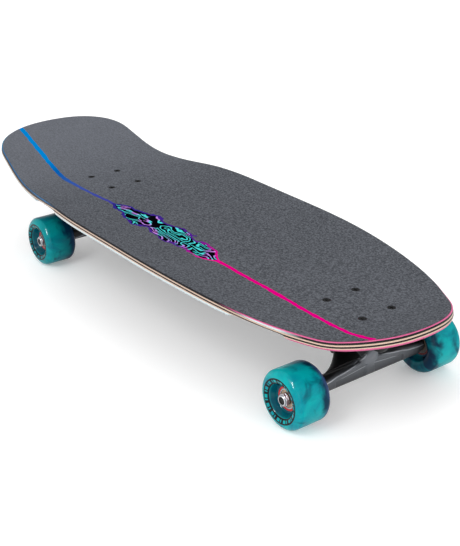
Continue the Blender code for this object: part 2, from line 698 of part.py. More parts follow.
def rib():
    """The web under the flange that ties the two bosses together, arched along its lower edge."""
    steps = 6
    start = RING + (BOSS_FACE - RIB_BITE) * KINGPIN_DOWN
    end = PIVOT - RIB_BITE * CUP_ACROSS
    arch_z = -BASEPLATE_THICKNESS - RIB_DEPTH
    outline = [(end.x, -BASEPLATE_THICKNESS / 2), (start.x, -BASEPLATE_THICKNESS / 2)]
    for i in range(steps + 1):
        share = i / steps
        chord_z = start.z + (end.z - start.z) * share
        lift = (4 * share * (1 - share)) ** 0.5
        outline.append((start.x + (end.x - start.x) * share, chord_z + (arch_z - chord_z) * lift))
    return side_prism(outline, RIB_WIDTH / 2)


def baseplate_mesh():
    solid = combined(flange_mesh(), [kingpin_boss(), pivot_boss(), rib()], "UNION")
    head = clear_of(KINGPIN_HEAD_CORNER, PIN_STEPS)
    shank = clear_of(KINGPIN_RADIUS, PIN_STEPS)
    head_seat = KINGPIN_HEAD_END + GAP
    above = KINGPIN_START - KINGPIN_HEAD_WIDTH
    bore = kingpin_solid([(0, above), (head, above), (head, head_seat), (shank, head_seat),
                          (shank, 0), (0, 0)], PIN_STEPS)
    floor = -PIVOT_CUP_RADIUS - GAP
    cup = cup_solid([(0, floor), (CUP_BORE - PIVOT_CUP_CHAMFER, floor),
                     (CUP_BORE, floor + PIVOT_CUP_CHAMFER), (CUP_BORE, -2 * floor), (0, -2 * floor)],
                    BEARING_STEPS)
    holes = at_bolts(lambda: bolt_hole(BOLT_RADIUS, -2 * BASEPLATE_THICKNESS, BASEPLATE_THICKNESS))
    return combined(solid, [bore, cup, *holes], "DIFFERENCE")


def pivot_cup_mesh():
    """A soft cup that holds the hanger's ball."""
    radius, quarter_steps = PIVOT_CUP_RADIUS, 3
    profile = [(0, -radius), (radius - PIVOT_CUP_CHAMFER, -radius), (radius, PIVOT_CUP_CHAMFER - radius),
               (radius, PIVOT_BOSS_MOUTH), (CUP_HOLLOW + PIVOT_CUP_WALL / 3, PIVOT_BOSS_MOUTH)]
    for i in range(quarter_steps):
        angle = pi / 2 * i / quarter_steps
        profile.append((CUP_HOLLOW * cos(angle), -CUP_HOLLOW * sin(angle)))
    profile.append((0, -CUP_HOLLOW))
    return cup_solid(profile, BEARING_STEPS)


def kingpin_mesh():
    head = prism(hexagon(KINGPIN_HEAD_WIDTH), KINGPIN_START, KINGPIN_HEAD_END)
    inside_head = KINGPIN_START + KINGPIN_HEAD_HEIGHT / 2
    point = KINGPIN_TIP / 2
    shank = turned([(0, inside_head), (KINGPIN_RADIUS, inside_head), (KINGPIN_RADIUS, KINGPIN_END - point),
                    (KINGPIN_RADIUS - point, KINGPIN_END), (0, KINGPIN_END)], PIN_STEPS)
    return moved(combined(head, [shank], "UNION"), along(KINGPIN_DOWN, RING))


def hex_nut(width, height, bore_of, steps):
    """A hexagon with a round hole, standing on Z = 0."""
    hole = prism(polygon(clear_of(bore_of, steps), steps), -height, 2 * height)
    return combined(prism(hexagon(width), 0, height), [hole], "DIFFERENCE")


def kingpin_nut_mesh():
    nut = hex_nut(KINGPIN_NUT_WIDTH, KINGPIN_NUT_HEIGHT, KINGPIN_RADIUS, PIN_STEPS)
    return moved(nut, along(KINGPIN_DOWN, RING + KINGPIN_NUT_TOP * KINGPIN_DOWN))


def upper_bushing_mesh():
    top, bottom, radius = UPPER_BUSHING_TOP, -RING_FLOOR - GAP, UPPER_BUSHING_RADIUS
    end = radius - BUSHING_CHAMFER
    return kingpin_solid([(BUSHING_BORE, top), (end, top), (radius, top + BUSHING_SHOULDER),
                          (radius, bottom - BUSHING_SHOULDER), (end, bottom), (BUSHING_BORE, bottom)],
                         BUSHING_STEPS)


def lower_bushing_mesh():
    top, bottom = LOWER_BUSHING_TOP, LOWER_BUSHING_TOP + LOWER_BUSHING_HEIGHT
    return kingpin_solid([(BUSHING_BORE, top), (LOWER_BUSHING_RADIUS, top),
                          (LOWER_BUSHING_RADIUS, top + BUSHING_SHOULDER), (LOWER_BUSHING_END, bottom),
                          (BUSHING_BORE, bottom)], BUSHING_STEPS)


def cup_washer_mesh(lip_radius, face, outward):
    """A washer whose rim turns over the bushing. Its face meets the bushing; outward is the way
    from the bushing, 1 down the kingpin and -1 up."""
    back = face + outward * WASHER_THICKNESS
    lip = face - outward * WASHER_LIP
    rim = lip_radius + WASHER_THICKNESS
    return kingpin_solid([(BUSHING_BORE, face), (lip_radius, face), (lip_radius, lip), (rim, lip),
                          (rim, back), (BUSHING_BORE, back)], BUSHING_STEPS)


# Hanger
def hanger_tube():
    half = HANGER_WIDTH / 2
    shoulder = half - HANGER_END_LENGTH
    profile = [(0, -half), (HANGER_END_RADIUS, -half), (HANGER_TUBE_RADIUS, -shoulder),
               (HANGER_TUBE_RADIUS, shoulder), (HANGER_END_RADIUS, half), (0, half)]
    return moved(turned(profile, TUBE_STEPS), along((0, 1, 0), AXLE))


def face_top(y):
    """Height of the front face's top edge above the axle, y from the middle."""
    end = HANGER_WIDTH / 2 - FACE_END
    if y < ARM_FOOT:
        return FACE_HEIGHT + FACE_PEAK * (1 - y / ARM_FOOT)
    return FACE_HEIGHT + (FACE_END_HEIGHT - FACE_HEIGHT) * (y - ARM_FOOT) / (end - ARM_FOOT)


def hanger_face():
    """The front of the casting: a flat face whose top edge climbs to the pivot arm. The corners
    given as shares of the tube's radius lie inside the tube."""
    tube = HANGER_TUBE_RADIUS
    end = HANGER_WIDTH / 2 - FACE_END
    sections = []
    for y in (-end, -ARM_FOOT, 0, ARM_FOOT, end):
        top = face_top(abs(y))
        outline = ((FACE_REACH, top - FACE_CHAMFER), (FACE_REACH, -0.3 * tube), (0.6 * tube, -0.75 * tube),
                   (-0.5 * tube, 0), (0, 0.85 * tube), (FACE_REACH - FACE_CHAMFER, top))
        sections.append([AXLE + Vector((x, y, z)) for x, z in outline])
    return lofted(sections)


def hanger_yoke():
    """From the bushing ring down and out to the axle tube, as one swelling web."""
    ring_half, foot_half = RING_THICKNESS / 2, 0.75 * HANGER_TUBE_RADIUS
    start_width = RING_RADIUS - RING_CHAMFER
    foot_facing = Vector((sin(YOKE_FOOT_LEAN), 0, cos(YOKE_FOOT_LEAN)))
    sections = []
    for share in (0, 0.35, 0.7, 1):
        middle = RING.lerp(AXLE + YOKE_LIFT * UPWARD, share)
        facing = (-KINGPIN_DOWN).lerp(foot_facing, share).normalized()
        thickness = ring_half + (foot_half - ring_half) * share
        width = start_width + (YOKE_STRAIGHT_HALF_WIDTH - start_width) * share
        width += (YOKE_HALF_WIDTH - YOKE_STRAIGHT_HALF_WIDTH) * share ** YOKE_FLARE
        sections.append(oval(middle, facing, thickness, width, 12, fullness=0.7))
    return lofted(sections)


def hanger_arm():
    """The pivot arm: broad on the face, narrowing to the neck below the ball."""
    neck = PIVOT + PIVOT_BALL_RADIUS * CUP_DOWN
    reach = neck - AXLE
    foot = Vector((0.12 * reach.x, 0, 0.04 * reach.z))
    thick, thin = FACE_REACH - FACE_CHAMFER, ARM_THICKNESS / 2
    sections = []
    for share, half_width_here, half_thickness in ((0, ARM_FOOT, thick), (0.4, 0.93 * ARM_FOOT, thin),
                                                   (0.6, 0.62 * ARM_FOOT, thin),
                                                   (0.8, ARM_HALF_WIDTH, thin)):
        lean = share ** ARM_LEAN
        middle = AXLE + Vector((foot.x + (reach.x - foot.x) * lean, 0, foot.z + (reach.z - foot.z) * share))
        sections.append(oval(middle, LENGTHWISE, half_thickness, half_width_here, 12))
    sections.append(oval(neck, CUP_ACROSS, PIVOT_NECK_RADIUS, PIVOT_NECK_RADIUS, 12))
    sections.append(oval(PIVOT, CUP_ACROSS, 0.8 * PIVOT_NECK_RADIUS, 0.8 * PIVOT_NECK_RADIUS, 12))
    return lofted(sections)


def pivot_ball():
    """The ball's poles lie on the steering axis, which it turns about."""
    profile = [(0, -PIVOT_BALL_RADIUS)]
    for elevation in range(-60, 61, 30):
        angle = radians(elevation)
        profile.append((PIVOT_BALL_RADIUS * cos(angle), PIVOT_BALL_RADIUS * sin(angle)))
    profile.append((0, PIVOT_BALL_RADIUS))
    return moved(turned(profile, PIN_STEPS), along(STEER_AXIS, PIVOT))


def hanger_ring():
    half, chamfer, radius = RING_THICKNESS / 2, RING_CHAMFER, RING_RADIUS
    return kingpin_solid([(0, -half), (radius - chamfer, -half), (radius, chamfer - half),
                          (radius, half - chamfer), (radius - chamfer, half), (0, half)], TUBE_STEPS)


def hanger_panels():
    """Cutters for the sunk panels of the front face, one each side of the spine: level along the
    axle's height, and a margin below the face's edge along the top."""
    floor = AXLE.x + FACE_REACH - PANEL_DEPTH
    low = AXLE.z
    outline = [(1.5 * PANEL_START, low), (PANEL_END, low)]
    for y in (PANEL_END, ARM_FOOT, PANEL_START):
        outline.append((y, low + face_top(y) - PANEL_MARGIN))
    return [lofted([[(x, side * y, z) for y, z in outline] for x in (floor, floor + 4 * PANEL_DEPTH)])
            for side in (1, -1)]


def hanger_mesh():
    """The casting: axle tube, front face, yoke, bushing ring and pivot arm, then what is cut out."""
    solid = combined(hanger_tube(), [hanger_face(), hanger_yoke(), hanger_ring(), hanger_arm(),
                                     pivot_ball()], "UNION")
    far = RING_THICKNESS + KINGPIN_END + AXLE_DROP
    kingpin_bore = kingpin_solid([(0, -RING_RADIUS), (UPPER_SEAT_RADIUS, -RING_RADIUS),
                                  (UPPER_SEAT_RADIUS, -RING_FLOOR), (RING_BORE, -RING_FLOOR),
                                  (RING_BORE, RING_FLOOR), (POCKET_RADIUS, RING_FLOOR),
                                  (POCKET_RADIUS, far), (0, far)], TUBE_STEPS)
    axle_bore = moved(prism(polygon(AXLE_BORE, PIN_STEPS), -HANGER_WIDTH, HANGER_WIDTH),
                      along((0, 1, 0), AXLE))
    return combined(solid, [kingpin_bore, axle_bore, *hanger_panels()], "DIFFERENCE")


def axle_mesh():
    half, point = AXLE_HALF_LENGTH, AXLE_RADIUS / 8
    profile = [(0, -half), (AXLE_RADIUS - point, -half), (AXLE_RADIUS, point - half),
               (AXLE_RADIUS, half - point), (AXLE_RADIUS - point, half), (0, half)]
    return moved(turned(profile, PIN_STEPS), along((0, 1, 0), AXLE))


# Wheel pieces, turned about Z with +Z away from the board and the wheel's middle at 0
def wheel_mesh():
    """Urethane with a rounded lip and a flared recess round the core, alike on both sides."""
    half = WHEEL_WIDTH / 2
    bore = clear_of(BEARING_RADIUS + GAP + CORE_WALL, WHEEL_STEPS)
    floor = bore + RECESS_FLOOR
    recess = floor + RECESS_FLARE
    lip = recess + FACE_RING
    tread = WHEEL_RADIUS / cos(pi / WHEEL_STEPS)
    side = [(bore, CORE_WIDTH / 2), (floor, CORE_WIDTH / 2), (recess, half - RECESS_STEP), (lip, half)]
    for angle in (radians(45), radians(90)):
        side.append((lip + (tread - lip) * sin(angle), half - LIP_DEPTH * (1 - cos(angle))))
    return turned(side + [(radius, -height) for radius, height in reversed(side)], WHEEL_STEPS)


def core_mesh():
    """The hard core that holds both bearings, with a shoulder between them."""
    half = CORE_WIDTH / 2
    outer = BEARING_RADIUS + GAP + CORE_WALL
    seat = clear_of(BEARING_RADIUS, CORE_STEPS)
    shoulder = seat - SHOULDER_HEIGHT
    step = half - BEARING_WIDTH - GAP
    return turned([(seat, -half), (outer, -half), (outer, half), (seat, half), (seat, step),
                   (shoulder, step), (shoulder, -step), (seat, -step)], CORE_STEPS)


def bearing_mesh():
    """Z = 0 is the face towards the other bearing; the inner race steps out of the far one."""
    bore = clear_of(AXLE_RADIUS, BEARING_STEPS)
    inner = bore + INNER_RACE
    end = BEARING_WIDTH + SPEED_RING
    return turned([(bore, 0), (BEARING_RADIUS, 0), (BEARING_RADIUS, BEARING_WIDTH),
                   (inner, BEARING_WIDTH), (inner, end), (bore, end)], BEARING_STEPS)


def axle_nut_mesh():
    """A hexagon with a round locking collar, standing on Z = 0."""
    height, radius = AXLE_NUT_HEIGHT, AXLE_COLLAR_RADIUS
    top, rounding = height + AXLE_COLLAR_HEIGHT, AXLE_COLLAR_HEIGHT / 3
    collar = turned([(0, height / 2), (radius, height / 2), (radius, top - rounding),
                     (radius - rounding, top), (0, top)], PIN_STEPS)
    nut = combined(prism(hexagon(AXLE_NUT_WIDTH), 0, height), [collar], "UNION")
    hole = prism(polygon(clear_of(AXLE_RADIUS, PIN_STEPS), PIN_STEPS), -height, 2 * top)
    return combined(nut, [hole], "DIFFERENCE")


# Assembly
def truck_meshes():
    """Mesh and material of each piece of a truck that stays with the deck, in the truck's frame."""
    return {
        "riser": (moved(riser_mesh(), Matrix.Translation((0, 0, GAP))), "riser"),
        "baseplate": (baseplate_mesh(), "baseplate"),
        "pivot_cup": (pivot_cup_mesh(), "bushing"),
        "kingpin": (kingpin_mesh(), "black_steel"),
        "kingpin_nut": (kingpin_nut_mesh(), "steel"),
        "bushing_upper": (upper_bushing_mesh(), "bushing"),
        "bushing_lower": (lower_bushing_mesh(), "bushing"),
        "washer_upper": (cup_washer_mesh(UPPER_LIP_RADIUS, UPPER_BUSHING_TOP - GAP, -1), "black_steel"),
        "washer_lower": (cup_washer_mesh(LOWER_LIP_RADIUS, LOWER_WASHER_TOP, 1), "black_steel"),
    }


def hanger_meshes():
    """What turns with the hanger, with its origin at the pivot."""
    to_pivot = Matrix.Translation(-PIVOT)
    return {
        "hanger": (moved(hanger_mesh(), to_pivot), "hanger"),
        "axle": (moved(axle_mesh(), to_pivot), "black_steel"),
    }


def wheel_meshes():
    """Mesh, material, place along the axle and facing of each piece of a wheel."""
    bearing = bearing_mesh()
    seat = CORE_WIDTH / 2 - BEARING_WIDTH
    return {
        "wheel_{}": (wheel_mesh(), "urethane", WHEEL_Y, 1),
        "core_{}": (core_mesh(), "core", WHEEL_Y, 1),
        "bearing_{}_outer": (bearing, "bearing", WHEEL_Y + seat, 1),
        "bearing_{}_inner": (bearing, "bearing", WHEEL_Y - seat, -1),
        "axle_nut_{}": (axle_nut_mesh(), "steel", AXLE_NUT_Y, 1),
    }


def build_truck(end, truck_x, heading, pieces, mats):
    """One truck, turned so that its pivot points to the board's nearer end."""
    fixed, swinging, rolling, bolt, bolt_nut = pieces
    truck = guide(f"{end}_truck", location=(truck_x, 0, MOUNT_Z), rotation=(0, 0, heading))
    for name, (mesh, slot) in fixed.items():
        place(f"{end}_{name}", mesh, mats[slot], truck)
    black = mats["black_steel"]
    for number, (x, y) in enumerate(bolt_places(), 1):
        place(f"{end}_bolt_{number}", bolt, black, truck, (x, y, BOLT_TOP_Z - MOUNT_Z))
        place(f"{end}_bolt_nut_{number}", bolt_nut, black, truck, (x, y, BOLT_NUT_Z - MOUNT_Z))

    steer = guide(f"{end}_steer", truck, PIVOT)
    for name, (mesh, slot) in swinging.items():
        place(f"{end}_{name}", mesh, mats[slot], steer)
    for side in (1, -1):
        is_left = (side > 0) == (heading == 0)
        wheel_name = f"{end}_{'left' if is_left else 'right'}"
        for pattern, (mesh, slot, distance, facing) in rolling.items():
            location = AXLE - PIVOT + Vector((0, side * distance, 0))
            place(pattern.format(wheel_name), mesh, mats[slot], steer, location,
                  (-side * facing * pi / 2, 0, 0))


def main():
    for thing in list(bpy.data.objects):
        bpy.data.objects.remove(thing)
    mats = make_materials()
    place("deck", deck_mesh(), mats["maple"])
    place("griptape", griptape_mesh(), mats["grip"])
    bolt_nut = hex_nut(BOLT_NUT_WIDTH, BOLT_NUT_HEIGHT, BOLT_RADIUS, BOLT_STEPS)
    pieces = (truck_meshes(), hanger_meshes(), wheel_meshes(), bolt_mesh(), bolt_nut)
    build_truck("front", FRONT_TRUCK_X, 0.0, pieces, mats)
    build_truck("rear", REAR_TRUCK_X, pi, pieces, mats)


main()
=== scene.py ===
"""A cruiser skateboard dressed for a studio picture: laminated deck, gritty grip sheet with a
painted stripe, cast trucks on bushings, and poured wheels with red cores.

X runs from the tail to the nose, Y to the left, Z up, in metres. Each truck is modelled once, in
its own frame: its origin is the middle of the bolt pattern on the face that meets the riser, and
+X points to the nearer end of the board.
"""

import json
from math import asin, ceil, copysign, cos, pi, radians, sin, sqrt, tan

import bmesh
import bpy
from mathutils import Matrix, Vector


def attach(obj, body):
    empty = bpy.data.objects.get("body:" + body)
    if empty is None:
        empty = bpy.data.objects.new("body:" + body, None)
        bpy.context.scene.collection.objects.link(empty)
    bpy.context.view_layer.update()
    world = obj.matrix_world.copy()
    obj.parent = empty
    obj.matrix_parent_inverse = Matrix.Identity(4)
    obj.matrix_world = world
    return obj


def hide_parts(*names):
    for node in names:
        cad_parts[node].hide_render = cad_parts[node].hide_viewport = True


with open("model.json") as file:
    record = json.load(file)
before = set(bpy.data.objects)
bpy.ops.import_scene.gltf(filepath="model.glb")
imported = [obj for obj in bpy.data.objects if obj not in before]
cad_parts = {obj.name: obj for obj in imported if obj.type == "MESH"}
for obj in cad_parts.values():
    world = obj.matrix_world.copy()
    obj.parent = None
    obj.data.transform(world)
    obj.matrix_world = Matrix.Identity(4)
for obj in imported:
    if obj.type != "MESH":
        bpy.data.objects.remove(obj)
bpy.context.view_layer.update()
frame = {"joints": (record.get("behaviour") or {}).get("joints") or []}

bl_info = {
    "name": "Cruiser skateboard",
    "version": (1, 0, 0),
    "blender": (4, 5, 0),
    "location": "3D View > Sidebar > Skateboard",
    "description": "Builds a cruiser skateboard piece by piece, with its finishes and a studio",
    "category": "Add Mesh",
}

MM = 0.001
GAP = 0.3 * MM
SHARP_ANGLE = radians(35)

# Deck
DECK_WIDTH = 267 * MM
NOSE_OVERHANG = 69.4 * MM
TAIL_OVERHANG = 153.3 * MM
NOSE_ROUND_POWER = 2.4
TAIL_ROUND_LENGTH = 56 * MM
TAIL_ROUND_POWER = 2.4
TAPER_START = 108 * MM
TAPER_RADIUS = 500 * MM
TAPER_ANGLE = radians(7.9)
TIP_HALF_WIDTH = 8 * MM
DECK_THICKNESS = 10.6 * MM
DECK_TOP_ROUND = 0.9 * MM
DECK_BOTTOM_ROUND = 3.6 * MM
TAIL_ANGLE = radians(20.2)
TAIL_BEND_RADIUS = 187 * MM
NOSE_ANGLE = radians(14.5)
NOSE_BEND_RADIUS = 103 * MM
BEND_CLEARANCE = 4 * MM
FLAT_HALF_WIDTH = 34 * MM
CONCAVE_MIDDLE = 10.8 * MM
CONCAVE_NOSE = 7.5 * MM
CONCAVE_NOSE_EASE = 200 * MM
CONCAVE_TAIL = 4.5 * MM
CONCAVE_TAIL_EASE = 100 * MM
WELL_OFFSET = 31.5 * MM
WELL_LENGTH = 70 * MM
WELL_DEPTH = 3.85 * MM
WELL_REACH = 30 * MM
WELL_POWER = 4
GRIP_THICKNESS = 0.8 * MM
GRIP_INSET = 0.2 * MM

# Bolts
WHEELBASE = 431.8 * MM
PATTERN_LENGTH = 53.98 * MM
PATTERN_WIDTH = 41.28 * MM
BOLT_RADIUS = 2.4 * MM
BOLT_HEAD_RADIUS = 4.5 * MM
BOLT_HEAD_HEIGHT = 2.6 * MM
BOLT_HEAD_DEPTH = 0.3 * MM
BOLT_NUT_WIDTH = 9.4 * MM
BOLT_NUT_HEIGHT = 5.5 * MM
BOLT_TIP = 5.2 * MM
BOLT_TURN = 0.7
RISER_THICKNESS = 3.7 * MM
RISER_MARGIN = 1 * MM

# Truck
PIVOT_X = 32 * MM
PIVOT_DEPTH = 16 * MM
STEER_ANGLE = radians(26)
STEER_LENGTH = 53 * MM
BASEPLATE_THICKNESS = 5 * MM
BASEPLATE_START = -PATTERN_LENGTH / 2 - 21.5 * MM
BASEPLATE_END = PATTERN_LENGTH / 2 + 16.5 * MM
BASEPLATE_HALF_WIDTH = PATTERN_WIDTH / 2 + 7.4 * MM
BASEPLATE_OUTER_CORNER = 11 * MM
BASEPLATE_INNER_CORNER = 20 * MM
KINGPIN_BOSS_RADIUS = 14.3 * MM
PIVOT_BOSS_RADIUS = 11.3 * MM
PIVOT_BOSS_SPLAY = 2 * MM
PIVOT_CUP_RADIUS = 8.23 * MM
PIVOT_BALL_RADIUS = 6.1 * MM
PIVOT_NECK_RADIUS = 4.9 * MM
HANGER_WIDTH = 164 * MM
HANGER_TUBE_RADIUS = 9.3 * MM
HANGER_END_RADIUS = 8 * MM
HANGER_END_LENGTH = 9 * MM
RING_RADIUS = 18.5 * MM
RING_THICKNESS = 9 * MM
RING_PLAY = 3.25 * MM
SEAT_DEPTH = 1.6 * MM
POCKET_RADIUS = 14.3 * MM
YOKE_HALF_WIDTH = 60 * MM
YOKE_STRAIGHT_HALF_WIDTH = 50 * MM
YOKE_LIFT = 10 * MM
YOKE_FOOT_LEAN = radians(30)
YOKE_FLARE = 5
FACE_REACH = 8.6 * MM
FACE_HEIGHT = 13.2 * MM
FACE_END_HEIGHT = 5.6 * MM
FACE_END = 23 * MM
FACE_PEAK = 2 * MM
FACE_CHAMFER = 1.6 * MM
ARM_FOOT = 14 * MM
ARM_HALF_WIDTH = 4.8 * MM
ARM_THICKNESS = 10 * MM
ARM_LEAN = 1.4
PANEL_DEPTH = 1.5 * MM
PANEL_START = 5 * MM
PANEL_END = 49 * MM
PANEL_MARGIN = 5 * MM
KINGPIN_RADIUS = 4.75 * MM
KINGPIN_HEAD_WIDTH = 14 * MM
KINGPIN_HEAD_HEIGHT = 5 * MM
KINGPIN_HEAD_DEPTH = 1 * MM
KINGPIN_NUT_WIDTH = 14 * MM
KINGPIN_NUT_HEIGHT = 7 * MM
KINGPIN_TIP = 1.5 * MM
UPPER_BUSHING_RADIUS = 12 * MM
UPPER_BUSHING_HEIGHT = 14 * MM
LOWER_BUSHING_RADIUS = 11.4 * MM
LOWER_BUSHING_END = 8.6 * MM
LOWER_BUSHING_HEIGHT = 11 * MM
BUSHING_SHOULDER = 3 * MM
WASHER_THICKNESS = 1.2 * MM
WASHER_LIP = 1 * MM
UPPER_LIP_RADIUS = UPPER_BUSHING_RADIUS + GAP
LOWER_LIP_RADIUS = 9.35 * MM
AXLE_RADIUS = 4 * MM
AXLE_NUT_WIDTH = 12.7 * MM
AXLE_NUT_HEIGHT = 3.8 * MM
AXLE_COLLAR_RADIUS = 5.8 * MM
AXLE_COLLAR_HEIGHT = 1.6 * MM
AXLE_TIP = 0.4 * MM

# Wheel
WHEEL_RADIUS = 32.5 * MM
WHEEL_WIDTH = 44 * MM
LIP_DEPTH = 7.7 * MM
FACE_RING = 4.3 * MM
RECESS_STEP = 1.8 * MM
RECESS_FLARE = 3.6 * MM
RECESS_FLOOR = 1.5 * MM
CORE_WIDTH = 24 * MM
CORE_WALL = 1.9 * MM
SHOULDER_HEIGHT = 1.8 * MM
BEARING_RADIUS = 11 * MM
BEARING_WIDTH = 7 * MM
INNER_RACE = 2 * MM
OUTER_RACE = 1.7 * MM
SPEED_RING = 1.2 * MM
POUR_STEP = 1.9

# Places in the truck's frame
LENGTHWISE = Vector((1, 0, 0))
UPWARD = Vector((0, 0, 1))
SIDEWAYS = Vector((0, 1, 0))
STEER_AXIS = Vector((cos(STEER_ANGLE), 0, sin(STEER_ANGLE)))
KINGPIN_DOWN = Vector((sin(STEER_ANGLE), 0, -cos(STEER_ANGLE)))
CUP_DOWN = Vector((-cos(pi / 3), 0, -sin(pi / 3)))
CUP_ACROSS = Vector((sin(pi / 3), 0, -cos(pi / 3)))
PIVOT = Vector((PIVOT_X, 0, -PIVOT_DEPTH))
RING = PIVOT - STEER_LENGTH * STEER_AXIS
JOINTS = {joint["name"]: Vector(joint["pos_m"]) for joint in frame["joints"]}
TRUCK_X = {"front": JOINTS["front_steer"].x - PIVOT_X, "rear": JOINTS["rear_steer"].x + PIVOT_X}
MOUNT_Z = JOINTS["front_steer"].z + PIVOT_DEPTH
AXLE = Vector((JOINTS["front_left_spin"].x - TRUCK_X["front"], 0, WHEEL_RADIUS - MOUNT_Z))
WHEEL_Y = JOINTS["front_left_spin"].y
AXLE_NUT_Y = WHEEL_Y + CORE_WIDTH / 2 + SPEED_RING + GAP
AXLE_HALF_LENGTH = AXLE_NUT_Y + AXLE_NUT_HEIGHT + AXLE_COLLAR_HEIGHT + AXLE_TIP

# Along the kingpin, from the ring's middle, negative towards the deck
RING_FLOOR = RING_THICKNESS / 2 - SEAT_DEPTH
UPPER_BUSHING_TOP = -RING_FLOOR - GAP - UPPER_BUSHING_HEIGHT
UPPER_WASHER_TOP = UPPER_BUSHING_TOP - GAP - WASHER_THICKNESS
BOSS_FACE = UPPER_WASHER_TOP - GAP
LOWER_BUSHING_TOP = RING_FLOOR + GAP
LOWER_WASHER_TOP = LOWER_BUSHING_TOP + LOWER_BUSHING_HEIGHT + GAP
KINGPIN_NUT_TOP = LOWER_WASHER_TOP + WASHER_THICKNESS + GAP
KINGPIN_NUT_END = KINGPIN_NUT_TOP + KINGPIN_NUT_HEIGHT
KINGPIN_END = KINGPIN_NUT_END + KINGPIN_TIP
KINGPIN_HEAD_CORNER = KINGPIN_HEAD_WIDTH / 2 / cos(pi / 6)
KINGPIN_START = (RING.z + KINGPIN_HEAD_DEPTH
                 + KINGPIN_HEAD_CORNER * sin(STEER_ANGLE)) / cos(STEER_ANGLE)
KINGPIN_HEAD_END = KINGPIN_START + KINGPIN_HEAD_HEIGHT

# Heights and places along the board
DECK_BOTTOM_Z = MOUNT_Z + GAP + RISER_THICKNESS + GAP
DECK_TOP_Z = DECK_BOTTOM_Z + DECK_THICKNESS
GRIP_TOP_Z = DECK_TOP_Z + GAP + GRIP_THICKNESS
BOLT_TOP_Z = GRIP_TOP_Z - BOLT_HEAD_DEPTH
BOLT_NUT_Z = MOUNT_Z - BASEPLATE_THICKNESS - GAP - BOLT_NUT_HEIGHT
BOLT_LENGTH = BOLT_TOP_Z - BOLT_NUT_Z + BOLT_TIP
RIDING_LENGTH = TAIL_OVERHANG + WHEELBASE + 2 * PATTERN_LENGTH + NOSE_OVERHANG
TAIL_TIP_X = TRUCK_X["rear"] - PATTERN_LENGTH / 2 - TAIL_OVERHANG
NOSE_TIP_X = TAIL_TIP_X + RIDING_LENGTH
MIDDLE_X = (TRUCK_X["front"] + TRUCK_X["rear"]) / 2
NOSE_BEND_X = TRUCK_X["front"] + PATTERN_LENGTH / 2 + BEND_CLEARANCE
TAIL_BEND_X = TRUCK_X["rear"] - PATTERN_LENGTH / 2 - BEND_CLEARANCE
TAPER_X = MIDDLE_X - TAPER_START
TAIL_ROUND_X = TAIL_TIP_X + TAIL_ROUND_LENGTH
ENDS = ("front", "rear")
SIDES = (("left", 1), ("right", -1))


def colour(red, green, blue):
    """A colour picked on the screen's scale of 0 to 255, as the shaders take it."""
    return tuple((part / 255 / 12.92) if part <= 10 else ((part / 255 + 0.055) / 1.055) ** 2.4
                 for part in (red, green, blue))


def toned(shade, factor, lift=0.0):
    """A shade made darker or brighter by a factor, then lifted."""
    return tuple(factor * part + lift for part in shade)


# Settings that a user would change
def colour_choice(name, description, default):
    return bpy.props.FloatVectorProperty(name=name, description=description, default=default,
                                         size=3, min=0, max=1, subtype="COLOR")


def number_choice(name, description, default, **options):
    return bpy.props.FloatProperty(name=name, description=description, default=default, **options)


def length_choice(name, description, default):
    return number_choice(name, description, default, min=0, subtype="DISTANCE", unit="LENGTH")


class DeckSettings(bpy.types.PropertyGroup):
    maple: colour_choice("Maple", "Plain veneers in the edge", colour(202, 176, 157))
    # The dark veneer also paints shade on the deck's rounded under edge
    dark: colour_choice("Dark veneer", "Stained veneers in the edge", colour(22, 20, 23))
    rose: colour_choice("Nose veneer", "Outer veneers at the nose", colour(214, 98, 146))
    blue: colour_choice("Tail veneer", "Top veneer at the tail", colour(38, 110, 165))
    pale: colour_choice("Pale veneer", "Lower veneer, tail to middle", colour(200, 212, 216))
    underside: colour_choice("Underside", "Stain of the lowest face", colour(58, 56, 58))
    grain: number_choice("Grain", "Strength of the wood's grain", 0.3, min=0, max=1,
                         subtype="FACTOR")


class GripSettings(bpy.types.PropertyGroup):
    grit: colour_choice("Grit", "Colour between the grains", colour(57, 59, 63))
    sparkle: colour_choice("Grains", "Colour of the bright grains", colour(100, 103, 109))
    dust: colour_choice("Dust", "Paler grip at the tail", colour(113, 116, 124))
    grain_size: length_choice("Grain size", "Across one grain of the grit", 0.9 * MM)
    stripe_width: length_choice("Stripe width", "Across the painted stripe", 5 * MM)
    stripe_tail: colour_choice("Stripe at the tail", "Paint at the tail", colour(2, 120, 190))
    stripe_middle: colour_choice("Stripe in the middle", "Paint by the panel", colour(56, 78, 152))
    stripe_nose: colour_choice("Stripe at the nose", "Paint towards the nose", colour(207, 0, 119))


class TruckSettings(bpy.types.PropertyGroup):
    face: colour_choice("Cast face", "Front of the hanger", colour(93, 96, 101))
    # The bare edge is a painted highlight along the hanger's ridge and panel line
    edge: colour_choice("Bare edge", "Where the casting is rubbed bright", colour(176, 180, 186))
    # On the hanger, the black coat stands partly for painted shade under the deck
    coat: colour_choice("Black coat", "Baseplate and the back of the hanger", colour(9, 9, 10))
    bushing: colour_choice("Bushings", "Urethane bushings and pivot cups", colour(16, 16, 18))
    fillet: length_choice("Casting grain", "Steps that the castings are softened with", 0.8 * MM)


class HardwareSettings(bpy.types.PropertyGroup):
    zinc: colour_choice("Zinc", "Axle nuts and kingpin nuts", colour(200, 200, 204))
    black: colour_choice("Black steel", "Bolts, kingpins, washers and axles", colour(16, 16, 18))
    pitch: length_choice("Thread pitch", "From one ridge of a thread to the next", 0.9 * MM)


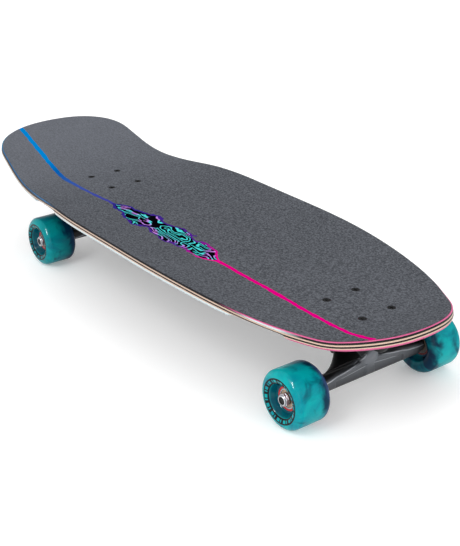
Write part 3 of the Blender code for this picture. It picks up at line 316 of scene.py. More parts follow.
class WheelSettings(bpy.types.PropertyGroup):
    teal: colour_choice("Teal", "Clear body of the pour", colour(0, 156, 158))
    # The deep and navy shades also paint shade on the wheels: deep on the rear wheels, navy towards
    # the board and in the recesses
    deep: colour_choice("Deep teal", "Darker streaks of the pour", colour(0, 122, 138))
    navy: colour_choice("Navy", "Smoke in the pour", colour(2, 34, 60))
    haze: colour_choice("Haze", "Milky wisps in the pour", colour(24, 144, 152))
    plum: colour_choice("Plum", "Smoke at the inner rim", colour(62, 80, 130))
    print_ink: colour_choice("Print", "Ring printed round the recess", colour(14, 20, 26))
    core: colour_choice("Core", "Moulded core", colour(206, 44, 44))
    shield: colour_choice("Shield", "Shields of the bearings", colour(196, 172, 146))


class StageSettings(bpy.types.PropertyGroup):
    camera: bpy.props.FloatVectorProperty(
        name="Camera", description="From the ground under the middle of the trucks", size=3,
        default=(0.947302, -0.699682, 0.590252), subtype="XYZ", unit="LENGTH")
    bearing: number_choice("Bearing", "Which way the camera looks, from +Y", radians(52.96),
                           subtype="ANGLE")
    tilt: number_choice("Tilt", "Of the view below level", radians(24.741), subtype="ANGLE")
    roll: number_choice("Roll", "Of the camera about its view", radians(-0.17), subtype="ANGLE")
    lens: number_choice("Lens", "Focal length in millimetres", 69.5, min=10)
    floor: colour_choice("Floor", "Studio floor", (0.9, 0.9, 0.9))
    glow: number_choice("Floor glow", "Light that the lit table gives off", 0.2, min=0)
    key_power: number_choice("Key light", "Power of the large light", 13, min=0, unit="POWER")
    sky: number_choice("Room light", "Strength of the light from all round", 1.0, min=0)


GROUPS = {"board_deck": DeckSettings, "board_grip": GripSettings, "board_truck": TruckSettings,
          "board_hardware": HardwareSettings, "board_wheel": WheelSettings,
          "board_stage": StageSettings}


# Shader building
def math_step(operation):
    """A method of Value that adds one Math node."""
    return lambda value, *others: value.finish.math(operation, value, *others)


class Value:
    """A shader socket that takes part in arithmetic, with one Math node for each step."""
    __add__ = __radd__ = math_step("ADD")
    __sub__ = math_step("SUBTRACT")
    __mul__ = __rmul__ = math_step("MULTIPLY")
    __truediv__ = math_step("DIVIDE")
    __abs__ = math_step("ABSOLUTE")
    __gt__ = math_step("GREATER_THAN")
    __lt__ = math_step("LESS_THAN")
    root = math_step("SQRT")
    sine = math_step("SINE")
    fraction = math_step("FRACT")
    arctan2 = math_step("ARCTAN2")
    larger = math_step("MAXIMUM")

    def __init__(self, finish, socket):
        self.finish = finish
        self.socket = socket

    def __rsub__(self, other):
        return self.finish.math("SUBTRACT", other, self)

    def __neg__(self):
        return self * -1

    def rise(self, start, end):
        """0 before the start and 1 past the end, smooth between them."""
        node = self.finish.node("ShaderNodeMapRange", {"interpolation_type": "SMOOTHSTEP"},
                                {"Value": self, "From Min": start, "From Max": end})
        return Value(self.finish, node.outputs["Result"])

    def fall(self, start, end):
        """1 before the start and 0 past the end."""
        return 1 - self.rise(start, end)

    def band(self, middle, half_width, blur):
        """1 within half a width of the middle, fading out over the blur."""
        return abs(self - middle).fall(half_width - blur / 2, half_width + blur / 2)


class Finish:
    """A material under construction. Its nodes come from node(), and from arithmetic on a Value.
    point is the place on the piece in the piece's own frame, and x, y and z are its parts."""

    def __init__(self, name, **constants):
        self.material = bpy.data.materials.new(name)
        self.material.use_nodes = True
        self.tree = self.material.node_tree
        self.tree.nodes.clear()
        self.shader = self.node("ShaderNodeBsdfPrincipled", {}, constants)
        self.node("ShaderNodeOutputMaterial", {}, {"Surface": self.shader.outputs["BSDF"]})
        self.point = self.node("ShaderNodeTexCoord", {}, {}).outputs["Object"]
        parts = self.node("ShaderNodeSeparateXYZ", {}, {"Vector": self.point})
        self.x, self.y, self.z = (Value(self, socket) for socket in parts.outputs)

    def node(self, kind, settings, inputs):
        """Adds a node, makes its settings, then gives its sockets their values or links."""
        node = self.tree.nodes.new(kind)
        for name, setting in settings.items():
            if name == "stops":
                self.set_stops(node.color_ramp, setting)
            elif name == "points":
                self.set_points(node.mapping, setting)
            else:
                setattr(node, name, setting)
        for key, value in inputs.items():
            self.feed(node.inputs[key.replace("_", " ") if isinstance(key, str) else key], value)
        return node

    def feed(self, socket, value):
        if isinstance(value, Value):
            value = value.socket
        if isinstance(value, bpy.types.NodeSocket):
            self.tree.links.new(value, socket)
        elif socket.type == "RGBA" and len(value) == 3:
            socket.default_value = (*value, 1)
        else:
            socket.default_value = value

    def set_stops(self, ramp, stops):
        while len(ramp.elements) < len(stops):
            ramp.elements.new(1)
        for element, (position, shade) in zip(ramp.elements, stops):
            element.position = position
            element.color = (*shade, 1)

    def set_points(self, mapping, points):
        curve = mapping.curves[0]
        while len(curve.points) < len(points):
            curve.points.new(0.5, 0.5)
        for point, place in zip(curve.points, points):
            point.location = place
        mapping.update()

    def math(self, operation, *values):
        node = self.node("ShaderNodeMath", {"operation": operation}, dict(enumerate(values)))
        return Value(self, node.outputs[0])

    def vector_math(self, operation, *values):
        settings = {"operation": operation}
        return self.node("ShaderNodeVectorMath", settings, dict(enumerate(values))).outputs[0]

    def mix(self, share, first, second, blend="MIX"):
        settings = {"data_type": "RGBA", "blend_type": blend, "clamp_result": blend != "MIX"}
        return self.node("ShaderNodeMix", settings, {0: share, 6: first, 7: second}).outputs[2]

    def ramp(self, value, *stops, interpolation="LINEAR"):
        node = self.node("ShaderNodeValToRGB", {"stops": stops}, {0: value})
        node.color_ramp.interpolation = interpolation
        return node.outputs[0]

    def curve(self, value, points):
        node = self.node("ShaderNodeFloatCurve", {"points": points}, {"Value": value})
        return Value(self, node.outputs[0])

    def attribute(self, name):
        node = self.node("ShaderNodeAttribute", {"attribute_name": name}, {})
        return Value(self, node.outputs["Fac"])

    def shrunk(self, point, size):
        """The point divided by a size, which is a length or one for each axis."""
        sizes = size if isinstance(size, tuple) else (size, size, size)
        return self.vector_math("DIVIDE", point, sizes)

    def noise(self, size, detail=2.0, roughness=0.5, distortion=0.0, output="Fac", **fourth):
        """Values from 0 to 1 that wander over about the given size, and over W=value if given."""
        node = self.node("ShaderNodeTexNoise", {"noise_dimensions": "4D" if fourth else "3D"},
                         {"Vector": self.shrunk(self.point, size), "Scale": 1.0, "Detail": detail,
                          "Roughness": roughness, "Distortion": distortion, **fourth})
        return Value(self, node.outputs[output])

    def cells(self, point, size, feature="F1"):
        """Distance from the middle of the nearest of many cells, or from their walls."""
        node = self.node("ShaderNodeTexVoronoi", {"feature": feature},
                         {"Vector": self.shrunk(point, size), "Scale": 1.0})
        return Value(self, node.outputs["Distance"])

    def finished(self, shade, roughness, metallic=None, coat=None, height=None, depth=None):
        """Joins what varies over the surface to the shader. The height is a share of the depth."""
        varying = {"Base Color": shade, "Roughness": roughness, "Metallic": metallic,
                   "Coat Weight": coat}
        if height is not None:
            bump = self.node("ShaderNodeBump", {},
                             {"Height": height, "Distance": depth, "Strength": 1.0})
            varying["Normal"] = bump.outputs["Normal"]
        for name, value in varying.items():
            if value is not None:
                self.feed(self.shader.inputs[name], value)
        return self.material


# Mesh building
def mesh_of(verts, faces):
    mesh = bpy.data.meshes.new("shape")
    mesh.from_pydata([tuple(vert) for vert in verts], [], faces)
    bm = bmesh.new()
    bm.from_mesh(mesh)
    bmesh.ops.recalc_face_normals(bm, faces=bm.faces)
    bm.to_mesh(mesh)
    bm.free()
    return mesh


def polygon(radius, steps):
    """The corners of a regular polygon, the first one half a step past the X axis."""
    angles = [2 * pi * (i + 0.5) / steps for i in range(steps)]
    return [(radius * cos(angle), radius * sin(angle)) for angle in angles]


def bridged(loops):
    """The faces between each loop of point numbers and the next. Where a loop repeats one number,
    they are triangles."""
    faces = []
    for low, high in zip(loops, loops[1:]):
        for i in range(len(low)):
            j = (i + 1) % len(low)
            faces.append(list(dict.fromkeys([low[i], low[j], high[j], high[i]])))
    return faces


def turned(profile, steps=48):
    """Turn (radius, height) points about Z. A profile that starts and ends on the axis is capped;
    any other is closed on itself, which leaves a bore."""
    verts, rings = [], []
    for radius, height in profile:
        if radius == 0:
            rings.append([len(verts)] * steps)
            verts.append((0, 0, height))
        else:
            rings.append(list(range(len(verts), len(verts) + steps)))
            verts += [(x, y, height) for x, y in polygon(radius, steps)]
    if profile[0][0] > 0:
        rings.append(rings[0])
    return mesh_of(verts, bridged(rings))


def rounded(profile, radius, steps=3):
    """The profile with its corners rounded off. Ends that lie on the axis stay."""
    points = [Vector(point) for point in profile]
    ends = () if points[0].x > 0 else (0, len(points) - 1)
    almost_straight = radians(165)
    result = []
    for i, point in enumerate(points):
        back, ahead = points[i - 1] - point, points[(i + 1) % len(points)] - point
        if i in ends or back.angle(ahead) > almost_straight:
            result.append(tuple(point))
            continue
        start = point + back.normalized() * min(radius, 0.45 * back.length)
        end = point + ahead.normalized() * min(radius, 0.45 * ahead.length)
        for step in range(steps + 1):
            share = step / steps
            result.append(tuple(start.lerp(point, share).lerp(point.lerp(end, share), share)))
    return result


def thread(radius, start, end, pitch):
    """Profile points of a thread's ridges between two heights."""
    count = max(2, round(abs(end - start) / pitch))
    points = []
    for i in range(count):
        low = start + (end - start) * i / count
        points += [(radius - 0.35 * pitch, low), (radius, low + (end - start) / count / 2)]
    return points + [(radius - 0.35 * pitch, end)]


def lofted(sections):
    """A solid through closed sections of equal length, with flat ends."""
    count = len(sections[0])
    verts = [point for section in sections for point in section]
    loops = [list(range(start, start + count)) for start in range(0, len(verts), count)]
    return mesh_of(verts, [loops[0], loops[-1]] + bridged(loops))


def prism(outline, low, high):
    return lofted([[(x, y, z) for x, y in outline] for z in (low, high)])


def oval(middle, direction, half_length, half_width, steps=40, fullness=1.0):
    """A ring of points in the plane of Y and a direction. A fullness under 1 squares it up."""
    points = []
    for cosine, sine in polygon(1, steps):
        along_it = copysign(abs(cosine) ** fullness, cosine) * half_length
        across = copysign(abs(sine) ** fullness, sine) * half_width
        points.append(middle + direction * along_it + Vector((0, across, 0)))
    return points


def rounded_rectangle(x_start, x_end, half_width, start_corner, end_corner, corner_steps=8):
    points = []
    for turn, (x_side, y_side) in enumerate(((1, 1), (-1, 1), (-1, -1), (1, -1))):
        corner = end_corner if x_side > 0 else start_corner
        middle_x = x_end - corner if x_side > 0 else x_start + corner
        for i in range(corner_steps + 1):
            angle = pi / 2 * (turn + i / corner_steps)
            points.append((middle_x + corner * cos(angle),
                           y_side * (half_width - corner) + corner * sin(angle)))
    return points


def rod(radius, low, high):
    """The profile of a plain cylinder."""
    return [(0, low), (radius, low), (radius, high), (0, high)]


def put(name, data):
    """A new object in the scene."""
    thing = bpy.data.objects.new(name, data)
    bpy.context.scene.collection.objects.link(thing)
    return thing


def with_modifiers(mesh, add):
    """The mesh after the modifiers that add(object) puts on it."""
    body = put("body", mesh)
    add(body)
    bpy.context.view_layer.update()
    graph = bpy.context.evaluated_depsgraph_get()
    result = bpy.data.meshes.new_from_object(body.evaluated_get(graph))
    bpy.data.objects.remove(body)
    bpy.data.meshes.remove(mesh)
    return result


def combined(mesh, others, operation):
    """The mesh after a Boolean with each of the others in turn."""
    tools = [put("tool", other) for other in others]

    def add(body):
        for tool in tools:
            boolean = body.modifiers.new(operation.lower(), "BOOLEAN")
            boolean.operation = operation
            boolean.object = tool
            boolean.solver = "EXACT"

    result = with_modifiers(mesh, add)
    for tool, other in zip(tools, others):
        bpy.data.objects.remove(tool)
        bpy.data.meshes.remove(other)
    return result


def softened(mesh, grain, passes):
    """The mesh as a casting: one skin of even grain, its edges and inner corners rounded."""
    def add(body):
        skin = body.modifiers.new("skin", "REMESH")
        skin.mode = "VOXEL"
        skin.voxel_size = grain
        smooth = body.modifiers.new("smooth", "SMOOTH")
        smooth.factor = 0.5
        smooth.iterations = passes

    return with_modifiers(mesh, add)


def moved(mesh, matrix):
    mesh.transform(matrix)
    return mesh


def at(x, y, z):
    return Matrix.Translation((x, y, z))


def along(direction, point):
    """The matrix that stands Z along a direction at a point."""
    return at(*point) @ UPWARD.rotation_difference(direction).to_matrix().to_4x4()


def joined(meshes):
    """Several meshes as one, each keeping its own skin."""
    bm = bmesh.new()
    for mesh in meshes:
        bm.from_mesh(mesh)
        bpy.data.meshes.remove(mesh)
    result = bpy.data.meshes.new("shape")
    bm.to_mesh(result)
    bm.free()
    return result


def aimed(place, direction):
    """The matrix that looks along a direction from a place, upright."""
    return at(*place) @ direction.to_track_quat("-Z", "Y").to_matrix().to_4x4()


def for_both_ends(mesh):
    """Each end's name with a mesh of its own."""
    return zip(ENDS, (mesh, mesh.copy()))


def truck_frame(end):
    return at(TRUCK_X[end], 0, MOUNT_Z) @ Matrix.Rotation(pi if end == "rear" else 0, 4, "Z")


def hub_frame(end, side, distance):
    """Stands +Z outwards along the axle, a distance from the middle of the truck."""
    x = TRUCK_X[end] + (AXLE.x if end == "front" else -AXLE.x)
    return at(x, side * distance, WHEEL_RADIUS) @ Matrix.Rotation(-side * pi / 2, 4, "X")


def add_piece(name, mesh, finish, body, replaces, matrix=Matrix.Identity(4)):
    """Puts a finished piece in place, on its body, in place of its solids."""
    bm = bmesh.new()
    bm.from_mesh(mesh)
    open_edges = sum(not edge.is_manifold for edge in bm.edges)
    bm.free()
    if open_edges or not mesh.polygons:
        raise RuntimeError(f"{name} isn't one closed shape: {open_edges} open edges")
    mesh.materials.clear()
    mesh.materials.append(finish)
    mesh.shade_smooth()
    mesh.set_sharp_from_angle(angle=SHARP_ANGLE)
    piece = put(name, mesh)
    piece.matrix_world = matrix
    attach(piece, body)
    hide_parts(*replaces)


def add_to_truck(end, body, *rows):
    """Puts pieces on a body of one truck. Rows are (name, node, mesh, finish, slot); the slot is
    not used.
    """
    for name, node, mesh, finish, slot in rows:
        add_piece(f"{name}_{end}", mesh, finish, body, [f"{end}_{node}"], truck_frame(end))


# Deck surface
def ease(t):
    return (1 - cos(pi * min(max(t, 0.0), 1.0))) / 2


def superellipse(t, power):
    return (1 - min(max(t, 0.0), 1.0) ** power) ** (1 / power)


def bend(distance, radius, angle):
    """Height and slope angle at a distance past the start of a bend that ends in a straight run."""
    if distance <= 0:
        return 0.0, 0.0
    arc = radius * sin(angle)
    if distance < arc:
        return radius - sqrt(radius ** 2 - distance ** 2), asin(distance / radius)
    return radius * (1 - cos(angle)) + (distance - arc) * tan(angle), angle


def half_width(x):
    if x > MIDDLE_X:
        share = (x - MIDDLE_X) / (NOSE_TIP_X - MIDDLE_X)
        width = DECK_WIDTH / 2 * superellipse(share, NOSE_ROUND_POWER)
    else:
        width = DECK_WIDTH / 2 - bend(TAPER_X - x, TAPER_RADIUS, TAPER_ANGLE)[0]
        width *= superellipse((TAIL_ROUND_X - x) / TAIL_ROUND_LENGTH, TAIL_ROUND_POWER)
    return max(width, TIP_HALF_WIDTH)


def flat_width(x):
    return min(FLAT_HALF_WIDTH, half_width(x) / 2)


def concave(x):
    """How high the rails would rise at the board's full width."""
    if x > MIDDLE_X:
        start, share = CONCAVE_NOSE, (TRUCK_X["front"] + PATTERN_LENGTH / 2 - x) / CONCAVE_NOSE_EASE
    else:
        start, share = CONCAVE_TAIL, (x - TRUCK_X["rear"] + PATTERN_LENGTH / 2) / CONCAVE_TAIL_EASE
    return start + (CONCAVE_MIDDLE - start) * ease(share)


def deck_point(x, y, depth):
    """A point a depth below the deck's top face, square to its lengthwise curve."""
    nose_rise, nose_slope = bend(x - NOSE_BEND_X, NOSE_BEND_RADIUS, NOSE_ANGLE)
    tail_rise, tail_slope = bend(TAIL_BEND_X - x, TAIL_BEND_RADIUS, TAIL_ANGLE)
    slope = nose_slope - tail_slope
    side = max(abs(y) - flat_width(x), 0.0) / (DECK_WIDTH / 2 - FLAT_HALF_WIDTH)
    height = DECK_TOP_Z + nose_rise + tail_rise + concave(x) * side ** 2
    return (x + depth * sin(slope), y, height - depth * cos(slope))


def well_depth(x, y):
    """How much a wheel well takes off the underside at a place."""
    depth = 0.0
    for middle in (TRUCK_X["front"] - WELL_OFFSET, TRUCK_X["rear"] + WELL_OFFSET):
        share = abs(x - middle) / (WELL_LENGTH / 2)
        reach = (abs(y) - half_width(x) + WELL_REACH) / WELL_REACH
        if share < 1 and reach > 0:
            depth = WELL_DEPTH * superellipse(share, WELL_POWER) * reach
    return depth


def deck_rows():
    """Stations along the board, closer together in the round ends."""
    tail_steps, nose_steps, spacing = 28, 90, 4 * MM
    straight, nose = MIDDLE_X - TAIL_ROUND_X, NOSE_TIP_X - MIDDLE_X
    rows = []
    for i in range(tail_steps):
        share = cos(pi / 2 * i / tail_steps) ** (2 / TAIL_ROUND_POWER)
        rows.append(TAIL_ROUND_X - TAIL_ROUND_LENGTH * share)
    count = ceil(straight / spacing)
    rows += [TAIL_ROUND_X + straight * i / count for i in range(count)]
    for i in range(nose_steps + 1):
        share = sin(pi / 2 * i / nose_steps) ** (2 / NOSE_ROUND_POWER)
        rows.append(MIDDLE_X + nose * share)
    return rows


def deck_row(x, inset, share, offset):
    """Points across the board and their depths, at one station of an outline drawn in by an inset.
    The depth is a share of the board's thickness there, and an offset."""
    middle, steps = (TAIL_TIP_X + NOSE_TIP_X) / 2, 11
    drawn_x = middle + (x - middle) * (1 - inset / (RIDING_LENGTH / 2))
    rim = half_width(x) - inset
    flat = min(flat_width(drawn_x), 0.8 * rim)
    side = [0.5 * flat, flat]
    side += [flat + (rim - flat) * sin(pi / 2 * i / steps) for i in range(1, steps + 1)]
    row = []
    for y in [-y for y in reversed(side)] + [0.0] + side:
        depth = share * (DECK_THICKNESS - well_depth(drawn_x, y)) + offset
        row.append((deck_point(drawn_x, y, depth), depth))
    return row


def rim_of(grid):
    """The grid's outer items, once round."""
    rights = [row[0] for row in grid]
    lefts = [row[-1] for row in grid]
    return rights + grid[-1][1:-1] + lefts[::-1] + grid[0][-2:0:-1]


def slab(layers):
    """A sheet that follows the deck, with the depth of each of its points. Layers are (inset,
    share, offset) from the top down. The first and the last are its faces, and the others run
    round its edge."""
    items, faces, loops = [], [], []
    for number, layer in enumerate(layers):
        rows = [deck_row(x, *layer) for x in deck_rows()]
        if number in (0, len(layers) - 1):
            width = len(rows[0])
            grid = [[len(items) + i * width + j for j in range(width)] for i in range(len(rows))]
            items += [item for row in rows for item in row]
            loops.append(rim_of(grid))
            for a, b in zip(grid, grid[1:]):
                faces += [[a[i], b[i], b[i + 1], a[i + 1]] for i in range(width - 1)]
        else:
            rim = rim_of(rows)
            loops.append(list(range(len(items), len(items) + len(rim))))
            items += rim
    mesh = mesh_of([item[0] for item in items], faces + bridged(loops))
    depths = mesh.attributes.new("depth", "FLOAT", "CORNER")
    for loop, entry in zip(mesh.loops, depths.data):
        entry.value = items[loop.vertex_index][1]
    return mesh


def quarter(radius, steps, start, end):
    """(inset, drop) pairs of a rounded edge."""
    angles = [start + (end - start) * i / steps for i in range(steps + 1)]
    return [(radius * (1 - sin(angle)), radius * (1 - cos(angle))) for angle in angles]


def bolt_places():
    """The pattern's four holes, in the truck's frame."""
    return [(x_side * PATTERN_LENGTH / 2, y_side * PATTERN_WIDTH / 2)
            for x_side in (1, -1) for y_side in (1, -1)]


def at_all_bolts(make, height):
    """A cutter at each of the eight bolts, as one mesh."""
    return joined([moved(make(), at(truck_x + x, y, height)) for truck_x in TRUCK_X.values()
                   for x, y in bolt_places()])


def countersunk_hole():
    """Clearance round a bolt. Height 0 is the top of its head."""
    head, shank, above = BOLT_HEAD_RADIUS + GAP, BOLT_RADIUS + GAP, 2 * MM
    return turned([(0, above), (head, above), (head, -GAP), (shank, -BOLT_HEAD_HEIGHT - GAP),
                   (shank, -BOLT_LENGTH), (0, -BOLT_LENGTH)], 24)


def deck_mesh():
    top = [(inset, 0, drop) for inset, drop in quarter(DECK_TOP_ROUND, 3, 0, pi / 2)]
    middle = [(0, share, 0) for share in (0.2, 0.3, 0.42)]
    bottom = [(inset, 1, -drop) for inset, drop in quarter(DECK_BOTTOM_ROUND, 4, pi / 2, 0)]
    holes = at_all_bolts(countersunk_hole, BOLT_TOP_Z)
    return combined(slab(top + middle + bottom), [holes], "DIFFERENCE")


def grip_mesh():
    inset, edge, top = DECK_TOP_ROUND + GRIP_INSET, 0.25 * MM, -GAP - GRIP_THICKNESS
    layers = [(inset + edge, 0, top), (inset, 0, top + edge), (inset, 0, -GAP)]
    hole, reach = polygon(BOLT_HEAD_RADIUS + GAP, 32), 4 * MM
    holes = at_all_bolts(lambda: prism(hole, -reach, reach), GRIP_TOP_Z)
    return combined(slab(layers), [holes], "DIFFERENCE")


# Truck shapes
def kingpin_solid(profile, steps=48):
    """A turned solid on the kingpin's line; heights are distances from the ring's middle."""
    return moved(turned(profile, steps), along(KINGPIN_DOWN, RING))


def cup_solid(profile, steps=40):
    return moved(turned(profile, steps), along(CUP_DOWN, PIVOT))


def axle_solid(profile, steps=40):
    """A turned solid on the axle's line; heights are distances to the left of its middle."""
    return moved(turned(profile, steps), along(SIDEWAYS, AXLE))


def flange_outline(grow=0.0):
    return rounded_rectangle(BASEPLATE_START - grow, BASEPLATE_END + grow,
                             BASEPLATE_HALF_WIDTH + grow, BASEPLATE_INNER_CORNER + grow,
                             BASEPLATE_OUTER_CORNER + grow)


def bolt_bores():
    """Cutters for the pattern's four holes, in the truck's frame."""
    hole, reach = polygon(BOLT_RADIUS + GAP, 24), 9 * MM
    return [moved(prism(hole, -reach, reach), at(x, y, 0)) for x, y in bolt_places()]


def riser_mesh():
    edge, top = 0.5 * MM, RISER_THICKNESS
    sections = []
    for height, inset in ((0, edge), (edge, 0), (top - edge, 0), (top, edge)):
        sections.append([(x, y, height + GAP) for x, y in flange_outline(RISER_MARGIN - inset)])
    return combined(lofted(sections), bolt_bores(), "DIFFERENCE")


def kingpin_boss():
    foot_z = -BASEPLATE_THICKNESS / 2
    foot = RING + KINGPIN_DOWN * ((RING.z - foot_z) / cos(STEER_ANGLE))
    face = RING + KINGPIN_DOWN * BOSS_FACE
    radius = KINGPIN_BOSS_RADIUS
    return lofted([oval(face, STEER_AXIS, radius, radius), oval(foot, LENGTHWISE, radius, radius)])


def pivot_boss():
    radius = PIVOT_BOSS_RADIUS
    foot_length = radius + PIVOT_BOSS_SPLAY / 2
    foot = Vector((BASEPLATE_END - foot_length, 0, -BASEPLATE_THICKNESS / 2))
    return lofted([oval(PIVOT + 3 * MM * CUP_DOWN, CUP_ACROSS, radius, radius),
                   oval(PIVOT - 5 * MM * CUP_DOWN, CUP_ACROSS, radius, radius),
                   oval(foot, LENGTHWISE, foot_length, radius + PIVOT_BOSS_SPLAY)])


def rib():
    """The web under the flange that ties the two bosses together, arched along its lower edge."""
    steps, bite, half = 16, 3.5 * MM, 3.5 * MM
    start = RING + (BOSS_FACE - bite) * KINGPIN_DOWN
    end = PIVOT - bite * CUP_ACROSS
    arch_z = -BASEPLATE_THICKNESS - 4 * MM
    outline = [(end.x, -BASEPLATE_THICKNESS / 2), (start.x, -BASEPLATE_THICKNESS / 2)]
    for i in range(steps + 1):
        share = i / steps
        chord_z = start.z + (end.z - start.z) * share
        lift = (4 * share * (1 - share)) ** 0.5
        outline.append((start.x + (end.x - start.x) * share, chord_z + (arch_z - chord_z) * lift))
    return lofted([[(x, y, z) for x, z in outline] for y in (-half, half)])


def baseplate_mesh(grain):
    """The casting, softened as one skin, then cut for the kingpin, the pivot cup and the bolts."""
    flange = prism(flange_outline(), -BASEPLATE_THICKNESS, 0)
    solid = softened(joined([flange, kingpin_boss(), pivot_boss(), rib()]), grain, 6)
    head, shank = KINGPIN_HEAD_CORNER + GAP, KINGPIN_RADIUS + GAP
    above, seat = KINGPIN_START - KINGPIN_HEAD_WIDTH, KINGPIN_HEAD_END + GAP
    bore = kingpin_solid([(0, above), (head, above), (head, seat), (shank, seat), (shank, 0),
                          (0, 0)])
    cup = PIVOT_CUP_RADIUS + GAP
    pocket = cup_solid(rounded(rod(cup, -cup, 2 * cup), 3 * MM))
    return combined(solid, [bore, pocket, *bolt_bores()], "DIFFERENCE")


def pivot_cup_mesh():
    radius, hollow = PIVOT_CUP_RADIUS, PIVOT_BALL_RADIUS + GAP
    chamfer, rim, steps = 3.4 * MM, 3 * MM, 8
    profile = [(0, -radius), (radius - chamfer, -radius), (radius, chamfer - radius),
               (radius, rim), (hollow + 0.5 * MM, rim)]
    for i in range(steps):
        angle = pi / 2 * i / steps
        profile.append((hollow * cos(angle), -hollow * sin(angle)))
    return cup_solid(profile + [(0, -hollow)])


def chamfered_hex(width, height):
    """A hexagon standing on Z = 0 with its corners turned down at both ends."""
    corner = width / 2 / cos(pi / 6)
    cut = corner - width / 2
    face, drop = width / 2 - 0.1 * MM, 1.3 * cut
    cone = turned([(0, 0), (face, 0), (corner + cut, drop), (corner + cut, height - drop),
                   (face, height), (0, height)])
    return combined(prism(polygon(corner, 6), 0, height), [cone], "INTERSECT")


def kingpin_mesh(pitch):
    radius, end = KINGPIN_RADIUS, KINGPIN_END
    head = moved(chamfered_hex(KINGPIN_HEAD_WIDTH, KINGPIN_HEAD_HEIGHT), at(0, 0, KINGPIN_START))
    inside = KINGPIN_START + KINGPIN_HEAD_HEIGHT / 2
    ridges = thread(radius, KINGPIN_NUT_TOP, end - 0.6 * MM, pitch)
    shank = turned([(0, inside), (radius, inside), *ridges, (radius - 1 * MM, end), (0, end)], 40)
    return moved(combined(head, [shank], "UNION"), along(KINGPIN_DOWN, RING))


def lock_nut_mesh(width, height, bore):
    """A hexagon standing on Z = 0 under a round collar, whose end is sunk inside its rim."""
    collar, sunk = 0.47 * width, height - 0.4 * MM
    ring = turned(rounded([(0, height / 2), (collar, height / 2), (collar, height),
                           (collar - 0.9 * MM, height), (collar - 1.2 * MM, sunk), (0, sunk)],
                          0.35 * MM), 40)
    nut = combined(chamfered_hex(width, 0.78 * height), [ring], "UNION")
    return combined(nut, [turned(rod(bore + GAP, -height, 2 * height), 32)], "DIFFERENCE")


def kingpin_nut_mesh():
    nut = lock_nut_mesh(KINGPIN_NUT_WIDTH, KINGPIN_NUT_HEIGHT, KINGPIN_RADIUS)
    return moved(nut, along(KINGPIN_DOWN, RING + KINGPIN_NUT_TOP * KINGPIN_DOWN))


def bolt_nut_mesh():
    """A bolt's nut, its collar downwards."""
    nut = lock_nut_mesh(BOLT_NUT_WIDTH, BOLT_NUT_HEIGHT, BOLT_RADIUS)
    return moved(nut, Matrix.Rotation(pi, 4, "X") @ at(0, 0, -BOLT_NUT_HEIGHT))


def sleeve(start, side, end, radius, steps=3):
    """A piece round the kingpin, bored for it, with a side between two heights and its corners
    rounded."""
    bore = KINGPIN_RADIUS + GAP
    return kingpin_solid(rounded([(bore, start), *side, (bore, end)], radius, steps))


def upper_bushing_mesh():
    top, bottom, radius = UPPER_BUSHING_TOP, -RING_FLOOR - GAP, UPPER_BUSHING_RADIUS
    face = radius - 1.2 * MM
    side = [(face, top), (radius, top + BUSHING_SHOULDER), (radius, bottom - BUSHING_SHOULDER),
            (face, bottom)]
    return sleeve(top, side, bottom, 1 * MM, 4)


def lower_bushing_mesh():
    top, radius = LOWER_BUSHING_TOP, LOWER_BUSHING_RADIUS
    bottom = top + LOWER_BUSHING_HEIGHT
    side = [(radius, top), (radius, top + BUSHING_SHOULDER), (LOWER_BUSHING_END, bottom)]
    return sleeve(top, side, bottom, 1 * MM, 4)


def cup_washer_mesh(lip_radius, face, outward):
    """A pressed washer whose rim turns over the bushing."""
    back, lip = face + outward * WASHER_THICKNESS, face - outward * WASHER_LIP
    rim = lip_radius + WASHER_THICKNESS
    side = [(lip_radius, face), (lip_radius, lip), (rim, lip), (rim, back)]
    return sleeve(face, side, back, 0.6 * MM)


def face_top(y):
    """Height of the front face's top edge above the axle, y from the middle."""
    end = HANGER_WIDTH / 2 - FACE_END
    if y < ARM_FOOT:
        return FACE_HEIGHT + FACE_PEAK * (1 - y / ARM_FOOT)
    return FACE_HEIGHT + (FACE_END_HEIGHT - FACE_HEIGHT) * (y - ARM_FOOT) / (end - ARM_FOOT)


def hanger_tube():
    half = HANGER_WIDTH / 2
    shoulder = half - HANGER_END_LENGTH
    return axle_solid([(0, -half), (HANGER_END_RADIUS, -half), (HANGER_TUBE_RADIUS, -shoulder),
                       (HANGER_TUBE_RADIUS, shoulder), (HANGER_END_RADIUS, half), (0, half)], 64)


def hanger_face():
    """The front of the casting: a flat face whose top edge climbs to the pivot arm."""
    tube, steps = HANGER_TUBE_RADIUS, 6
    end = HANGER_WIDTH / 2 - FACE_END
    stations = [-end + (end - ARM_FOOT) * i / steps for i in range(steps + 1)]
    stations += [-0.5 * ARM_FOOT, 0]
    sections = []
    for y in stations + [-y for y in reversed(stations[:-1])]:
        top = face_top(abs(y))
        outline = ((FACE_REACH, top - FACE_CHAMFER), (FACE_REACH, -0.3 * tube),
                   (0.6 * tube, -0.75 * tube), (-0.5 * tube, 0), (0, 0.85 * tube),
                   (FACE_REACH - FACE_CHAMFER, top))
        sections.append([AXLE + Vector((x, y, z)) for x, z in outline])
    return lofted(sections)


def hanger_yoke():
    """From the bushing ring down and out to the axle tube, as one swelling web."""
    ring_half, foot_half = RING_THICKNESS / 2, 0.75 * HANGER_TUBE_RADIUS
    start_width = RING_RADIUS - 1.2 * MM
    foot_facing = Vector((sin(YOKE_FOOT_LEAN), 0, cos(YOKE_FOOT_LEAN)))
    steps = 10
    sections = []
    for i in range(steps + 1):
        share = i / steps
        middle = RING.lerp(AXLE + YOKE_LIFT * UPWARD, share)
        facing = (-KINGPIN_DOWN).lerp(foot_facing, share).normalized()
        thickness = ring_half + (foot_half - ring_half) * share
        width = start_width + (YOKE_STRAIGHT_HALF_WIDTH - start_width) * share
        width += (YOKE_HALF_WIDTH - YOKE_STRAIGHT_HALF_WIDTH) * share ** YOKE_FLARE
        sections.append(oval(middle, facing, thickness, width, 48, fullness=0.7))
    return lofted(sections)


